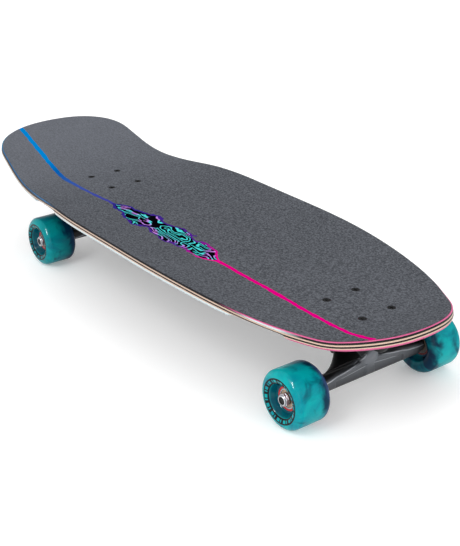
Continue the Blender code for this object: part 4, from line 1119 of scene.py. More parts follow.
def hanger_arm():
    """The pivot arm: broad on the face, narrowing to the neck below the ball."""
    neck = PIVOT + PIVOT_BALL_RADIUS * CUP_DOWN
    reach = neck - AXLE
    foot_x, foot_z = 0.12 * reach.x, 0.04 * reach.z
    thick, thin = FACE_REACH - FACE_CHAMFER, ARM_THICKNESS / 2
    sections = []
    for share, half, half_thickness in ((0, ARM_FOOT, thick), (0.4, 0.93 * ARM_FOOT, thin),
                                        (0.5, 0.79 * ARM_FOOT, thin), (0.6, 0.62 * ARM_FOOT, thin),
                                        (0.7, 0.45 * ARM_FOOT, thin), (0.8, ARM_HALF_WIDTH, thin)):
        x = foot_x + (reach.x - foot_x) * share ** ARM_LEAN
        z = foot_z + (reach.z - foot_z) * share
        sections.append(oval(AXLE + Vector((x, 0, z)), LENGTHWISE, half_thickness, half))
    for middle, radius in ((neck, PIVOT_NECK_RADIUS), (PIVOT, 0.8 * PIVOT_NECK_RADIUS)):
        sections.append(oval(middle, CUP_ACROSS, radius, radius))
    return lofted(sections)


def pivot_ball():
    profile = [(0, -PIVOT_BALL_RADIUS)]
    for elevation in range(-75, 76, 15):
        angle = radians(elevation)
        profile.append((PIVOT_BALL_RADIUS * cos(angle), PIVOT_BALL_RADIUS * sin(angle)))
    profile.append((0, PIVOT_BALL_RADIUS))
    return moved(turned(profile, 32), along(STEER_AXIS, PIVOT))


def hanger_panels():
    """Cutters for the sunk panels of the front face, one each side of the spine."""
    floor = AXLE.x + FACE_REACH - PANEL_DEPTH
    low = AXLE.z - 0.7 * HANGER_TUBE_RADIUS
    outline = [(1.5 * PANEL_START, low), (PANEL_END, low)]
    outline += [(y, AXLE.z + face_top(y) - PANEL_MARGIN)
                for y in (PANEL_END, ARM_FOOT, PANEL_START)]
    return [lofted([[(x, side * y, z) for y, z in outline]
                    for x in (floor, floor + 4 * PANEL_DEPTH)]) for side in (1, -1)]


def hanger_mesh(grain):
    """The casting, softened as one skin, then bored for the kingpin and the axle."""
    ring = kingpin_solid(rod(RING_RADIUS, -RING_THICKNESS / 2, RING_THICKNESS / 2), 64)
    parts = [hanger_face(), hanger_yoke(), ring, hanger_arm(), pivot_ball()]
    rough = combined(hanger_tube(), parts, "UNION")
    cast = softened(combined(rough, hanger_panels(), "DIFFERENCE"), grain, 4)
    seat, bore, far = UPPER_BUSHING_RADIUS + GAP, KINGPIN_RADIUS + RING_PLAY, 60 * MM
    kingpin_bore = kingpin_solid(rounded([
        (0, -RING_RADIUS), (seat, -RING_RADIUS), (seat, -RING_FLOOR), (bore, -RING_FLOOR),
        (bore, RING_FLOOR), (POCKET_RADIUS, RING_FLOOR), (POCKET_RADIUS, far), (0, far)],
        0.4 * MM), 56)
    axle_bore = axle_solid(rod(AXLE_RADIUS + GAP, -far * 2, far * 2), 32)
    return combined(cast, [kingpin_bore, axle_bore], "DIFFERENCE")


def axle_mesh(pitch):
    half, radius = AXLE_HALF_LENGTH, AXLE_RADIUS
    ridges = thread(radius, AXLE_NUT_Y - 2 * MM, half - 0.4 * MM, pitch)
    side = [(0, half - 0.3 * MM), (radius - 1.4 * MM, half - 0.3 * MM), (radius - 0.7 * MM, half),
            *reversed(ridges)]
    return axle_solid(side + [(r, -z) for r, z in reversed(side)])


def bolt_mesh(pitch):
    """A countersunk bolt with a cross recess. Height 0 is the top of its head."""
    head, shank = BOLT_HEAD_RADIUS, BOLT_RADIUS
    ridges = thread(shank, -BOLT_LENGTH + 0.5 * MM, -BOLT_LENGTH + 14 * MM, pitch)
    profile = [(0, -BOLT_LENGTH), (shank - 0.8 * MM, -BOLT_LENGTH), *ridges,
               (shank, -BOLT_HEAD_HEIGHT), (head, -0.3 * MM), (head - 0.2 * MM, 0), (0, 0)]
    arms = []
    for angle in (pi / 4, 3 * pi / 4):
        arm = lofted([[(x, y, z) for x, y in ((-long, -wide), (long, -wide), (long, wide),
                                              (-long, wide))]
                      for z, long, wide in ((-1.9 * MM, 0.7 * MM, 0.35 * MM),
                                            (0.2 * MM, 2.7 * MM, 0.75 * MM))])
        arms.append(moved(arm, Matrix.Rotation(angle, 4, "Z")))
    return combined(turned(profile, 40), arms, "DIFFERENCE")


# Wheel shapes, turned about Z with +Z away from the board. Z = 0 is the wheel's middle, unless a
# shape says otherwise
def wheel_mesh(number):
    """The urethane of one wheel. Its number sets the pattern of its pour."""
    half, core_face = WHEEL_WIDTH / 2, CORE_WIDTH / 2
    bore = BEARING_RADIUS + 2 * GAP + CORE_WALL
    floor = bore + RECESS_FLOOR
    recess = floor + RECESS_FLARE
    lip = recess + FACE_RING
    inner = rounded([(0, 0), (bore, core_face), (floor, core_face), (recess, half - RECESS_STEP),
                     (lip, half), (lip + 2 * MM, half)], 1.1 * MM, 4)
    side = [(bore, core_face - 0.4 * MM)]
    side += [point for point in inner[1:-1] if point[1] > core_face - MM]
    arc_steps, across = 12, 6
    for step in range(1, arc_steps + 1):
        angle = pi / 2 * step / arc_steps
        side.append((lip + (WHEEL_RADIUS - lip) * sin(angle), half - LIP_DEPTH * (1 - cos(angle))))
    tread = [(WHEEL_RADIUS, (half - LIP_DEPTH) * (1 - 2 * i / across)) for i in range(1, across)]
    mesh = turned(side + tread + [(radius, -height) for radius, height in reversed(side)], 96)
    pour = mesh.attributes.new("pour", "FLOAT", "POINT")
    pour.data.foreach_set("value", [POUR_STEP * number] * len(mesh.vertices))
    return mesh


def core_mesh():
    half = CORE_WIDTH / 2
    outer, seat = BEARING_RADIUS + GAP + CORE_WALL, BEARING_RADIUS + GAP / 2
    shoulder, step = seat - SHOULDER_HEIGHT, half - BEARING_WIDTH - GAP
    return turned(rounded([(seat, -half), (outer, -half), (outer, half), (seat, half), (seat, step),
                           (shoulder, step), (shoulder, -step), (seat, -step)], 0.4 * MM), 64)


def bearing_mesh():
    """Z = 0 is the face towards the other bearing; the inner race steps out of the far one."""
    bore, rim, face = AXLE_RADIUS + GAP, BEARING_RADIUS, BEARING_WIDTH
    inner, outer = bore + INNER_RACE, rim - OUTER_RACE
    bead, sunk, crest = (inner + outer) / 2, 0.5 * MM, face - 0.3 * MM
    profile = [(bore, 0), (inner, 0), (inner, sunk), (outer, sunk), (outer, 0), (rim, 0),
               (rim, face), (outer, face), (outer, face - sunk), (bead + 0.7 * MM, face - sunk),
               (bead + 0.4 * MM, crest), (bead - 0.4 * MM, crest),
               (bead - 0.7 * MM, face - sunk), (inner, face - sunk),
               (inner, face + SPEED_RING), (bore, face + SPEED_RING)]
    return turned(rounded(profile, 0.2 * MM, 2), 64)


def axle_nut_mesh():
    """A hexagon under a round collar. Z = 0 is the face towards the wheel."""
    height, top = AXLE_NUT_HEIGHT, AXLE_NUT_HEIGHT + AXLE_COLLAR_HEIGHT
    collar = turned(rounded(rod(AXLE_COLLAR_RADIUS, height / 2, top), 0.7 * MM, 4))
    nut = combined(chamfered_hex(AXLE_NUT_WIDTH, height), [collar], "UNION")
    bore = AXLE_RADIUS + GAP
    hole = turned([(0, -height), (bore, -height), (bore, top - 0.5 * MM),
                   (AXLE_RADIUS + 0.8 * MM, 2 * top), (0, 2 * top)])
    return combined(nut, [hole], "DIFFERENCE")


# Fixed stains, metals, and the dark of a painted shade
TAIL_TIP_STAIN = colour(60, 150, 165)
RISER_BLACK = colour(14, 14, 15)
RACE_STEEL = colour(196, 196, 200)
SHIELD_SEAM = colour(22, 20, 20)
OLD_GREASE = colour(96, 66, 58)
SHADE_DARK = colour(14, 16, 18)

# The stripe's path: shares of the board's length, and of its reach to the right of the middle
STRIPE_REACH = 80 * MM
STRIPE_ROUTE = ((0.0, 0.64), (0.1, 0.64), (0.21, 0.69), (0.28, 0.68), (0.34, 0.645), (0.43, 0.62),
                (0.52, 0.615), (0.6, 0.635), (0.65, 0.653), (0.8, 0.672), (0.87, 0.694),
                (0.94, 0.677), (1.0, 0.745))
# The panel: its middle and half its length along the board, and its half width
PANEL_MIDDLE = 0.495
PANEL_REACH = 0.155
PANEL_WIDTH = 25 * MM

# The top of the hanger's bare face: millimetres from the middle, and shares of its reach
HANGER_RIDGE = ((0, 1), (5, 0.72), (10, 0.45), (18, 0.345), (33, 0.255), (47, 0.2), (57, 0.14),
                (82, 0.1))
RIDGE_LENGTH = HANGER_WIDTH / 2
RIDGE_REACH = 40 * MM
RIDGE_LEAN = 0.58

# The print on a wheel's outer face
PRINT_REPEATS = 14
PRINT_RADIUS = 21.7 * MM
PRINT_HALF_WIDTH = 3.2 * MM
PRINT_Z = 17 * MM
DASH_RADIUS = 21.6 * MM
DASH_HALF_WIDTH = 1.5 * MM
RECESS_Z = 11 * MM


# Finishes
def along_board(x):
    """0 at the tail and 1 at the nose, for a place or for a value that runs along the board."""
    return (x - TAIL_TIP_X) / RIDING_LENGTH


def ply_finish(deck):
    """Seven veneers seen on edge, the outer ones stained in colours that change along the board."""
    finish = Finish("Lacquered plies", Coat_Weight=0.06, Coat_Roughness=0.15,
                    Specular_IOR_Level=0.15)
    maple, dark, rose, blue, pale = deck.maple, deck.dark, deck.rose, deck.blue, deck.pale
    reach = along_board(finish.x)
    below = finish.attribute("depth")
    wander = finish.noise((40 * MM, 40 * MM, 20 * MM), detail=3)
    tail = reach.fall(0.2, 0.28)
    pressed = (1.5 * reach.fall(along_board(0.2), along_board(0.29)) * reach.rise(0.28, 0.34)
               - tail)
    depth = below / MM + pressed + (wander - 0.5) * 0.35
    second = finish.ramp(reach, (0, dark), (along_board(0.225), dark), (along_board(0.25), pale),
                         (along_board(0.28), pale), (along_board(0.306), dark))
    top = finish.ramp(reach, (0, TAIL_TIP_STAIN), (0.07, blue), (along_board(-0.17), blue),
                      (along_board(-0.13), dark), (along_board(0.205), dark),
                      (along_board(0.24), rose))
    bottom = finish.ramp(reach, (0, pale), (along_board(0.255), pale), (along_board(0.295), rose))
    plies = finish.ramp(depth / 10, (0, dark), (0.32, maple), (0.48, dark), (0.66, maple),
                        interpolation="CONSTANT")
    shade = finish.mix(depth < 3.1, plies, second)
    shade = finish.mix(depth - pressed + 0.5 * tail < 0.85, shade, top)
    torn = finish.noise((3 * MM, 3 * MM, 1 * MM), detail=3)
    shade = finish.mix(depth + 0.9 * (torn - 0.5) + 2.9 * tail > 7.8, shade, bottom)
    # Painted shade: the rounded under edge darkens towards the bottom
    painted_edge_shade = below.rise(DECK_THICKNESS - 2.6 * MM, DECK_THICKNESS)
    shade = finish.mix(painted_edge_shade * 0.45, shade, dark)
    underside = below.rise(DECK_THICKNESS - 0.2 * MM, DECK_THICKNESS - 0.02 * MM)
    shade = finish.mix(underside, shade, deck.underside)
    grain = finish.noise((30 * MM, 0.6 * MM, 0.5 * MM), detail=4, roughness=0.6)
    fleck = finish.noise((2.5 * MM, 1 * MM, 0.3 * MM))
    pores = finish.ramp(grain, (0.3, (0.35, 0.3, 0.28)), (0.6, (1, 1, 1)))
    shade = finish.mix(deck.grain, shade, pores, "MULTIPLY")
    roughness = 0.34 + 0.2 * grain + 0.12 * fleck
    return finish.finished(shade, roughness, height=grain * 0.5 + fleck * 0.5, depth=0.06 * MM)


def grip_finish(grip):
    """Silicon grit on a dark sheet, with a painted stripe and a panel of flowing lines."""
    finish = Finish("Grit and paint", Specular_IOR_Level=0.0)
    size = grip.grain_size
    grains = finish.cells(finish.point, size)
    fine = finish.noise(0.6 * size, roughness=0.7)
    clumps = finish.noise(2.6 * size, detail=3, roughness=0.65)
    worn = finish.noise(60 * MM, detail=4)
    bright = (0.65 * clumps + 0.35 * fine).rise(0.4, 0.62)
    shade = finish.mix(bright, grip.grit, grip.sparkle)
    reach = along_board(finish.x)
    dusty = (1 - reach).rise(0.6, 0.98) * 0.45 + (worn - 0.5) * 0.2 + 0.1
    shade = finish.mix(dusty, shade, grip.dust)

    wobble = finish.noise(16 * MM)
    jag = finish.noise(6 * MM, detail=1)
    across = (finish.y + STRIPE_REACH * finish.curve(reach, STRIPE_ROUTE)
              + ((wobble - 0.5) * 3 + (jag - 0.5) * 2) * MM)
    width = grip.stripe_width / 2 * (0.8 + 0.6 * finish.noise(22 * MM))
    thin = 1.3 - 0.45 * reach.band(along_board(-0.15), 0.08, 0.08) - 0.35 * reach.rise(0.3, 0.7)
    stripe = (abs(across) / (width * thin)).fall(0.85, 1.1)
    paint = finish.ramp(reach, (0, grip.stripe_tail), (0.11, grip.stripe_tail),
                        (0.15, colour(3, 86, 160)), (0.23, grip.stripe_middle),
                        (0.36, colour(62, 54, 140)), (0.6, colour(190, 10, 116)),
                        (0.64, grip.stripe_nose))
    shade = finish.mix(stripe, shade, paint)

    shade, panel = panel_paint(finish, reach, across, shade)
    painted = stripe.larger(panel)
    height = (1 - grains) * (1 - 0.35 * painted) + 0.6 * fine
    return finish.finished(shade, 0.92 - 0.3 * painted, height=height, depth=0.35 * MM)


def panel_paint(finish, reach, across, shade):
    """A leaf-shaped panel on the stripe, filled with flowing contour lines. Gives the painted
    shade, and 1 where the panel is."""
    travel = (reach - PANEL_MIDDLE) / PANEL_REACH
    ragged = finish.noise((20 * MM, 12 * MM, 12 * MM), detail=1.5)
    lobes = 0.76 + 0.12 * (travel * 11).sine() + 0.9 * (ragged - 0.5)
    half = PANEL_WIDTH * (1 - travel * travel * travel * travel) * lobes
    edge = half - abs(across)
    inside = edge.rise(-0.2 * MM, 0.5 * MM)
    outline = edge.band(1.9 * MM, 1.9 * MM, 0.6 * MM)
    drift = finish.noise((24 * MM, 14 * MM, 14 * MM), detail=1, output="Color")
    bent = finish.vector_math("MULTIPLY_ADD", drift, (40 * MM, 18 * MM, 0), finish.point)
    wall = finish.cells(bent, (46 * MM, 17 * MM, 17 * MM), "DISTANCE_TO_EDGE")
    drawn = wall.band(0.1, 0.028, 0.02).larger(wall.band(0.25, 0.026, 0.02))
    drawn = drawn * edge.rise(3.4 * MM, 4 * MM)
    ink = finish.ramp(finish.noise(26 * MM, detail=1),
                      (0.42, colour(70, 206, 204)), (0.55, colour(80, 200, 206)),
                      (0.6, colour(176, 120, 214)), (0.7, colour(204, 136, 222)))
    border = finish.ramp(reach, (0.38, colour(46, 36, 124)), (0.56, colour(76, 30, 130)),
                         (0.64, colour(220, 10, 135)))
    filled = finish.mix(drawn, colour(5, 5, 9), ink)
    filled = finish.mix(outline, filled, border)
    return finish.mix(inside, shade, filled), inside


def rubber_finish(name, shade):
    finish = Finish(name, Specular_IOR_Level=0.4)
    cloud = finish.noise(9 * MM, detail=4)
    fine = finish.noise(0.8 * MM)
    tone = finish.mix(cloud.rise(0.3, 0.75), shade, toned(shade, 2.1, 0.004))
    return finish.finished(tone, 0.5 + 0.2 * cloud, height=fine, depth=0.05 * MM)


def coat_finish(shade):
    """Black powder coat: a fine orange-peel skin, thin and brighter where it wears."""
    finish = Finish("Black powder coat", Coat_Weight=0.05, Coat_Roughness=0.3,
                    Specular_IOR_Level=0.2)
    peel = finish.noise(1.1 * MM, detail=3)
    dust = finish.noise(14 * MM, detail=5)
    tone = finish.mix(dust.rise(0.45, 0.8), shade, toned(shade, 1.9, 0.006))
    return finish.finished(tone, 0.3 + 0.22 * dust, height=peel, depth=0.08 * MM)


def hanger_finish(truck):
    """Satin grey casting on the face, with painted shade towards its bottom, painted light on the
    arm and painted highlights along the ridge and the panel line; behind the ridge it is black,
    partly for the coat and partly as painted shade.
    """
    finish = Finish("Cast hanger", Coat_Weight=0.05, Coat_Roughness=0.3, Specular_IOR_Level=0.3)
    side = abs(finish.y)
    height = finish.z - AXLE.z
    route = [(far * MM / RIDGE_LENGTH, share) for far, share in HANGER_RIDGE]
    ridge_height = RIDGE_REACH * finish.curve(side / RIDGE_LENGTH, route)
    wander = finish.noise(6 * MM)
    behind = AXLE.x + FACE_REACH - finish.x
    level = height + behind * RIDGE_LEAN + (wander - 0.5) * 0.8 * MM
    below = ridge_height - level
    # Grey in front of the ridge line and black behind it; the black is partly the coat and partly
    # painted shade under the deck
    front = below.rise(-4.5 * MM, 0.4 * MM)
    # Painted highlights: a band along the ridge and a thin line along the panels' lower edge, in
    # the bare edge colour
    ridge = below.band(0.6 * MM, 0.6 * MM, 1.1 * MM)
    groove = ((level + side * 0.1).band(7.2 * MM, 0.35 * MM, 0.5 * MM)
              * side.rise(4 * MM, 9 * MM) * side.fall(36 * MM, 44 * MM))
    cast = finish.noise(1.3 * MM, detail=3, roughness=0.6)
    cloud = finish.noise((20 * MM, 30 * MM, 20 * MM), detail=4)
    grey = truck.face
    bare = finish.mix(cloud.rise(0.3, 0.7), toned(grey, 0.85), grey)
    # Painted shade: the face darkens towards its bottom
    bare = finish.mix(height.fall(-8 * MM, 9 * MM) * 0.85, bare, toned(grey, 0.22))
    # Painted light: the pivot arm is lighter towards its top
    arm = side.fall(7 * MM, 12 * MM) * height.rise(2 * MM, 14 * MM)
    bare = finish.mix(arm, bare, toned(grey, 1.4))
    bare = finish.mix((ridge * 0.8).larger(groove * 0.5), bare, truck.edge)
    shade = finish.mix(front, truck.coat, bare)
    roughness = 0.4 + 0.14 * cloud - 0.1 * ridge
    return finish.finished(shade, roughness, metallic=0.4 * front, height=cast, depth=0.07 * MM)


def metal_finish(name, shade, roughness, metallic, scratch=(8 * MM, 0.25 * MM, 0.25 * MM)):
    finish = Finish(name, Specular_IOR_Level=0.5 * metallic)
    brushed = finish.noise(scratch, detail=3, roughness=0.6)
    stain = finish.noise(3 * MM, detail=4)
    tone = finish.mix(stain.rise(0.35, 0.75), shade, toned(shade, 0.72))
    return finish.finished(tone, roughness + 0.16 * brushed + 0.1 * stain,
                           metallic=metallic + 0.1 * stain, height=brushed, depth=0.02 * MM)


def wheel_finish(wheel):
    """Poured urethane: clear teal with smoke, haze and a printed ring round the recess, under
    painted shade towards the board and in the recess. The attribute named pour tells the wheels
    apart."""
    finish = Finish("Marbled urethane", Coat_Roughness=0.05, Specular_IOR_Level=0.06)
    x, y, z = finish.x, finish.y, finish.z
    radius = (x * x + y * y).root()
    pour = finish.attribute("pour")
    swirl = finish.noise((26 * MM, 26 * MM, 40 * MM), detail=4, roughness=0.55, distortion=1.3,
                         W=pour)
    smoke = finish.noise((38 * MM, 34 * MM, 34 * MM), detail=3, distortion=1.6, W=pour + 3.7)
    wisp = finish.noise((14 * MM, 14 * MM, 26 * MM), detail=3, roughness=0.6, distortion=1.5,
                        W=pour + 7.1)
    shade = finish.mix(swirl.rise(0.35, 0.68), wheel.teal, wheel.deep)
    shade = finish.mix(wisp.rise(0.55, 0.8) * 0.5, shade, wheel.haze)

    # Painted shade: the rear wheels are darker, more so towards the board, and the navy smoke
    # thickens towards the board, least on the front left one. The rims towards the board turn more
    # purple.
    darker = pour.rise(2.4, 3.2)
    smoke_and_shade_weight = pour.rise(0.5, 1.5)
    inner = (-z).rise(2 * MM, 20 * MM)
    shade = finish.mix(darker * (0.3 + 0.6 * (-z).rise(-14 * MM, 16 * MM)), shade,
                       toned(wheel.deep, 0.3))
    smoke_and_painted_shade = (smoke + (0.22 + 0.1 * smoke_and_shade_weight + 0.12 * darker) * inner).rise(0.5, 0.76)
    shade = finish.mix(smoke_and_painted_shade * 0.95, shade, wheel.navy)
    rim = (-z).rise(11 * MM, 19 * MM) * radius.rise(27 * MM, 31 * MM)
    purple = 0.7 * smoke_and_shade_weight - 0.6 * darker
    shade = finish.mix(rim * (1 - smoke).rise(0.36, 0.56) * purple, shade, wheel.plum)
    # Painted shade: the face towards the board turns navy
    inside = (-z).rise(15 * MM, 19 * MM) * radius.fall(26 * MM, 31 * MM)
    shade = finish.mix(inside * 0.6, shade, wheel.navy)
    # Painted shade: the recess turns navy
    recess = radius.fall(17.5 * MM, 19 * MM) * abs(z).rise(RECESS_Z - MM, RECESS_Z)
    shade = finish.mix(recess * 0.75, shade, wheel.navy)

    # A dark ring round the recess, with a long and a short dash left clear in each repeat
    ring = radius.band(PRINT_RADIUS, PRINT_HALF_WIDTH, 0.25 * MM)
    turns = (y.arctan2(x) * (PRINT_REPEATS / (2 * pi))).fraction()
    track = radius.band(DASH_RADIUS, DASH_HALF_WIDTH, 0.2 * MM)
    marks = (turns.band(0.34, 0.2, 0.03) * track).larger(turns.band(0.76, 0.07, 0.03) * track)
    worn = finish.noise(4 * MM, detail=4).rise(0.25, 0.45)
    ink = ring * (1 - marks) * z.rise(PRINT_Z, PRINT_Z + MM) * (0.82 + 0.18 * worn)
    shade = finish.mix(ink, shade, wheel.print_ink)
    tread = radius.rise(WHEEL_RADIUS - 0.9 * MM, WHEEL_RADIUS - 0.3 * MM)
    ground = finish.noise((3 * MM, 3 * MM, 0.5 * MM), detail=3)
    roughness = 0.12 + tread * (0.14 + 0.14 * ground) + 0.12 * ink
    return finish.finished(shade, roughness, coat=0.12 - 0.07 * tread,
                           height=ground * tread + wisp * 0.3, depth=0.05 * MM)


def core_finish(shade):
    finish = Finish("Moulded core", Coat_Weight=0.1, Coat_Roughness=0.1, Specular_IOR_Level=0.3)
    flow = finish.noise((5 * MM, 5 * MM, 12 * MM), detail=3, distortion=0.8)
    tone = finish.mix(flow.rise(0.3, 0.7), toned(shade, 0.72), shade)
    # Painted shade: the core's half towards the board is nearly black
    tone = finish.mix((-finish.z).rise(2 * MM, 8 * MM) * 0.85, tone, toned(shade, 0.06))
    return finish.finished(tone, 0.25 + 0.15 * flow, height=flow, depth=0.04 * MM)


def bearing_finish(name, shade, painted_shade):
    """Polished races, and tinted shields between them, under a share of painted shade."""
    finish = Finish(name)
    radius = (finish.x * finish.x + finish.y * finish.y).root()
    shield = radius.band(7.8 * MM, 1.55 * MM, 0.15 * MM)
    groove = (radius.band(9.35 * MM, 0.22 * MM, 0.1 * MM)
              + radius.band(6.3 * MM, 0.22 * MM, 0.1 * MM))
    stain = finish.noise(2.5 * MM, detail=4)
    spun = finish.noise((0.5 * MM, 0.5 * MM, 4 * MM))
    tone = finish.mix(shield, RACE_STEEL, shade)
    tone = finish.mix(groove * 0.85, tone, SHIELD_SEAM)
    tone = finish.mix(stain.rise(0.4, 0.75) * 0.5, tone, OLD_GREASE)
    # Painted shade over the steel, for the inner bearings
    tone = finish.mix(painted_shade, tone, SHADE_DARK)
    return finish.finished(tone, 0.24 + 0.18 * stain, metallic=(0.85 - 0.3 * shield) * (1 - painted_shade),
                           height=spun, depth=0.02 * MM)


def floor_finish(stage):
    """Plain paper that glows a little, as a lit table does."""
    finish = Finish("Pale floor", Emission_Color=(1, 1, 1), Emission_Strength=stage.glow)
    paper = finish.noise(3 * MM)
    shade = finish.mix(paper, toned(stage.floor, 0.985), stage.floor)
    return finish.finished(shade, 0.85 + 0.1 * paper)


# Studio
GLINT_LIGHT = "Glint_light"  # shows in reflections only
# Name, place, width, height, and power as a share of the key light's
LIGHTS = (
    ("Key_light", (0.35, -1.7, 1.9), 1.2, 1.2, 1),
    ("Side_light", (1.9, 0.5, 1.0), 0.9, 0.9, 0.35),
    ("Back_light", (-1.3, 1.5, 1.6), 1.0, 1.0, 0.4),
    ("Near_light", (1.5, -1.3, 0.7), 1.0, 1.0, 0.3),
    (GLINT_LIGHT, (0.6, -2.1, 2.2), 0.3, 1.5, 13),
)
LIGHT_TARGET = Vector((MIDDLE_X, 0, 0.05))
FLOOR_HALF_SIZE = 60
SENSOR_WIDTH = 36


# Operators
class AddDeck(bpy.types.Operator):
    """Adds the laminated deck with its wheel wells and bolt holes"""
    bl_idname = "skateboard.add_deck"
    bl_label = "Deck"

    def execute(self, context):
        finish = ply_finish(context.scene.board_deck)
        add_piece("Laminated_deck", deck_mesh(), finish, "board", ["deck"])
        return {"FINISHED"}


class AddGrip(bpy.types.Operator):
    """Adds the grip sheet with its painted stripe"""
    bl_idname = "skateboard.add_grip"
    bl_label = "Grip sheet"

    def execute(self, context):
        finish = grip_finish(context.scene.board_grip)
        add_piece("Grip_sheet", grip_mesh(), finish, "board", ["griptape"])
        return {"FINISHED"}


class AddMounts(bpy.types.Operator):
    """Adds the riser pads, the cast baseplates and the pivot cups"""
    bl_idname = "skateboard.add_mounts"
    bl_label = "Risers and baseplates"

    def execute(self, context):
        truck = context.scene.board_truck
        riser = rubber_finish("Riser rubber", RISER_BLACK)
        cup = rubber_finish("Cup urethane", truck.bushing)
        coat = coat_finish(truck.coat)
        for end, plate in for_both_ends(baseplate_mesh(truck.fillet)):
            add_to_truck(end, "board",
                         ("Riser", "riser", riser_mesh(), riser, "riser"),
                         ("Baseplate", "baseplate", plate, coat, "baseplate"),
                         ("Cup", "pivot_cup", pivot_cup_mesh(), cup, "bushing"))
        return {"FINISHED"}


class AddKingpins(bpy.types.Operator):
    """Adds each kingpin with its nut, bushings and cup washers"""
    bl_idname = "skateboard.add_kingpins"
    bl_label = "Kingpins and bushings"

    def execute(self, context):
        hardware = context.scene.board_hardware
        soft = rubber_finish("Bushing urethane", context.scene.board_truck.bushing)
        black = metal_finish("Black steel", hardware.black, 0.3, 0.6)
        zinc = metal_finish("Kingpin nut zinc", hardware.zinc, 0.22, 0.88)
        for end in ENDS:
            add_to_truck(end, "board",
                         ("Kingpin", "kingpin", kingpin_mesh(hardware.pitch), black, "black_steel"),
                         ("Kingpin_nut", "kingpin_nut", kingpin_nut_mesh(), zinc, "steel"),
                         ("Upper_bushing", "bushing_upper", upper_bushing_mesh(), soft, "bushing"),
                         ("Lower_bushing", "bushing_lower", lower_bushing_mesh(), soft, "bushing"),
                         ("Upper_washer", "washer_upper",
                          cup_washer_mesh(UPPER_LIP_RADIUS, UPPER_BUSHING_TOP - GAP, -1), black,
                          "black_steel"),
                         ("Lower_washer", "washer_lower",
                          cup_washer_mesh(LOWER_LIP_RADIUS, LOWER_WASHER_TOP, 1), black,
                          "black_steel"))
        return {"FINISHED"}


class AddHangers(bpy.types.Operator):
    """Adds the cast hangers"""
    bl_idname = "skateboard.add_hangers"
    bl_label = "Hangers"

    def execute(self, context):
        truck = context.scene.board_truck
        finish = hanger_finish(truck)
        for end, shape in for_both_ends(hanger_mesh(truck.fillet)):
            add_to_truck(end, f"{end}_swing", ("Hanger", "hanger", shape, finish, "hanger"))
        return {"FINISHED"}


class AddAxles(bpy.types.Operator):
    """Adds the axles and their nuts"""
    bl_idname = "skateboard.add_axles"
    bl_label = "Axles and nuts"

    def execute(self, context):
        hardware = context.scene.board_hardware
        black = metal_finish("Axle steel", hardware.black, 0.3, 0.6)
        zinc = metal_finish("Axle nut zinc", hardware.zinc, 0.16, 0.88)
        for end in ENDS:
            add_to_truck(end, f"{end}_swing",
                         ("Axle", "axle", axle_mesh(hardware.pitch), black, "black_steel"))
            for name, side in SIDES:
                add_piece(f"Axle_nut_{end}_{name}", axle_nut_mesh(), zinc, f"{end}_swing",
                          [f"axle_nut_{end}_{name}"], hub_frame(end, side, AXLE_NUT_Y))
        return {"FINISHED"}


class AddBolts(bpy.types.Operator):
    """Adds the countersunk bolts and their nuts"""
    bl_idname = "skateboard.add_bolts"
    bl_label = "Bolts"

    def execute(self, context):
        hardware = context.scene.board_hardware
        black = metal_finish("Black oxide", hardware.black, 0.4, 0.1, (0.6 * MM,) * 3)
        for end in ENDS:
            for number, (x, y) in enumerate(bolt_places(), 1):
                ground = truck_frame(end) @ at(x, y, -MOUNT_Z)
                head = ground @ at(0, 0, BOLT_TOP_Z) @ Matrix.Rotation(BOLT_TURN * number, 4, "Z")
                for name, node, shape, matrix in (
                        ("Bolt", "bolt", bolt_mesh(hardware.pitch), head),
                        ("Bolt_nut", "bolt_nut", bolt_nut_mesh(), ground @ at(0, 0, BOLT_NUT_Z))):
                    add_piece(f"{name}_{end}_{number}", shape, black, "board",
                              [f"{end}_{node}_{number}"], matrix)
        return {"FINISHED"}


class AddWheels(bpy.types.Operator):
    """Adds the wheels with their cores and bearings"""
    bl_idname = "skateboard.add_wheels"
    bl_label = "Wheels"

    def execute(self, context):
        wheel = context.scene.board_wheel
        urethane, core = wheel_finish(wheel), core_finish(wheel.core)
        clean = bearing_finish("Bearing steel", wheel.shield, 0)
        # The inner bearings are darkened by painted shade
        shaded_bearing = bearing_finish("Shaded bearing steel", wheel.shield, 0.85)
        seat = CORE_WIDTH / 2 - BEARING_WIDTH
        flip = Matrix.Rotation(pi, 4, "X")
        corners = [(end, *side) for end in ENDS for side in SIDES]
        for number, (end, name, side) in enumerate(corners):
            corner = f"{end}_{name}"
            middle = hub_frame(end, side, WHEEL_Y)
            outer = hub_frame(end, side, WHEEL_Y + seat)
            inner = hub_frame(end, side, WHEEL_Y - seat) @ flip
            for piece, node, shape, finish, slot, matrix in (
                    ("Urethane", "wheel", wheel_mesh(number), urethane, "urethane", middle),
                    ("Core", "core", core_mesh(), core, "core", middle)):
                add_piece(f"{piece}_{corner}", shape, finish, f"{corner}_roller",
                          [f"{node}_{corner}"], matrix)
            for place, finish, matrix in (("outer", clean, outer), ("inner", shaded_bearing, inner)):
                add_piece(f"Bearing_{corner}_{place}", bearing_mesh(), finish,
                          f"{corner}_roller", [f"bearing_{corner}_{place}"], matrix)
        return {"FINISHED"}


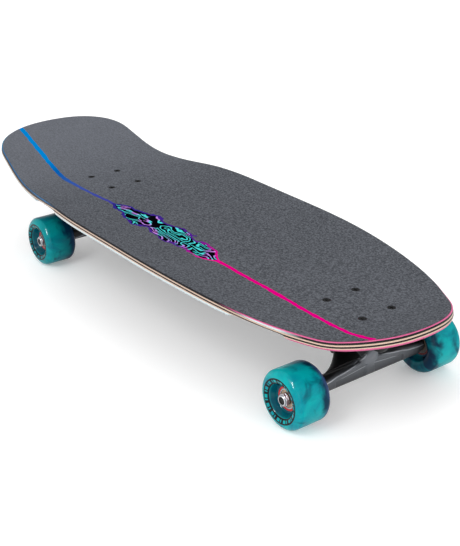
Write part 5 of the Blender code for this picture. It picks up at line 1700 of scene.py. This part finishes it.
class AddStage(bpy.types.Operator):
    """Adds the floor, the lights and the camera"""
    bl_idname = "skateboard.add_stage"
    bl_label = "Stage"

    def execute(self, context):
        stage = context.scene.board_stage
        size = FLOOR_HALF_SIZE
        corners = [(-size, -size, 0), (size, -size, 0), (size, size, 0), (-size, size, 0)]
        floor = put("Studio_floor", mesh_of(corners, [[0, 1, 2, 3]]))
        floor.data.materials.append(floor_finish(stage))

        world = bpy.data.worlds.new("Studio room")
        world.use_nodes = True
        background = world.node_tree.nodes["Background"]
        background.inputs["Color"].default_value = (1, 1, 1, 1)
        background.inputs["Strength"].default_value = stage.sky
        context.scene.world = world
        context.scene.view_settings.view_transform = "Standard"

        for name, place, width, height, share in LIGHTS:
            lamp = bpy.data.lights.new(name, "AREA")
            lamp.shape = "RECTANGLE"
            lamp.size = width
            lamp.size_y = height
            lamp.energy = share * stage.key_power
            light = put(name, lamp)
            light.visible_diffuse = name != GLINT_LIGHT
            light.matrix_world = aimed(Vector(place), LIGHT_TARGET - Vector(place))

        lens = bpy.data.cameras.new("Camera")
        lens.lens = stage.lens
        lens.sensor_width = SENSOR_WIDTH
        camera = put("Camera", lens)
        look = Vector((-sin(stage.bearing) * cos(stage.tilt), cos(stage.bearing) * cos(stage.tilt),
                       -sin(stage.tilt)))
        place = Vector((MIDDLE_X, 0, 0)) + Vector(stage.camera)
        camera.matrix_world = aimed(place, look) @ Matrix.Rotation(stage.roll, 4, "Z")
        context.scene.camera = camera
        return {"FINISHED"}


OPERATORS = (AddDeck, AddGrip, AddMounts, AddKingpins, AddHangers, AddAxles, AddBolts, AddWheels,
             AddStage)


class SkateboardPanel(bpy.types.Panel):
    """Settings and pieces of the skateboard"""
    bl_idname = "VIEW3D_PT_skateboard"
    bl_label = "Skateboard"
    bl_space_type = "VIEW_3D"
    bl_region_type = "UI"
    bl_category = "Skateboard"

    def draw(self, context):
        for group, settings in GROUPS.items():
            box = self.layout.box()
            for name in settings.__annotations__:
                box.prop(getattr(context.scene, group), name)
        for operator in OPERATORS:
            self.layout.operator(operator.bl_idname)


CLASSES = (*GROUPS.values(), *OPERATORS, SkateboardPanel)


def register():
    for cls in CLASSES:
        bpy.utils.register_class(cls)
    for name, settings in GROUPS.items():
        setattr(bpy.types.Scene, name, bpy.props.PointerProperty(type=settings))


def unregister():
    for name in GROUPS:
        delattr(bpy.types.Scene, name)
    for cls in reversed(CLASSES):
        bpy.utils.unregister_class(cls)


def main():
    register()
    bpy.ops.skateboard.add_deck()
    bpy.ops.skateboard.add_grip()
    bpy.ops.skateboard.add_mounts()
    bpy.ops.skateboard.add_kingpins()
    bpy.ops.skateboard.add_hangers()
    bpy.ops.skateboard.add_axles()
    bpy.ops.skateboard.add_bolts()
    bpy.ops.skateboard.add_wheels()
    bpy.ops.skateboard.add_stage()


if __name__ == "__main__":
    main()
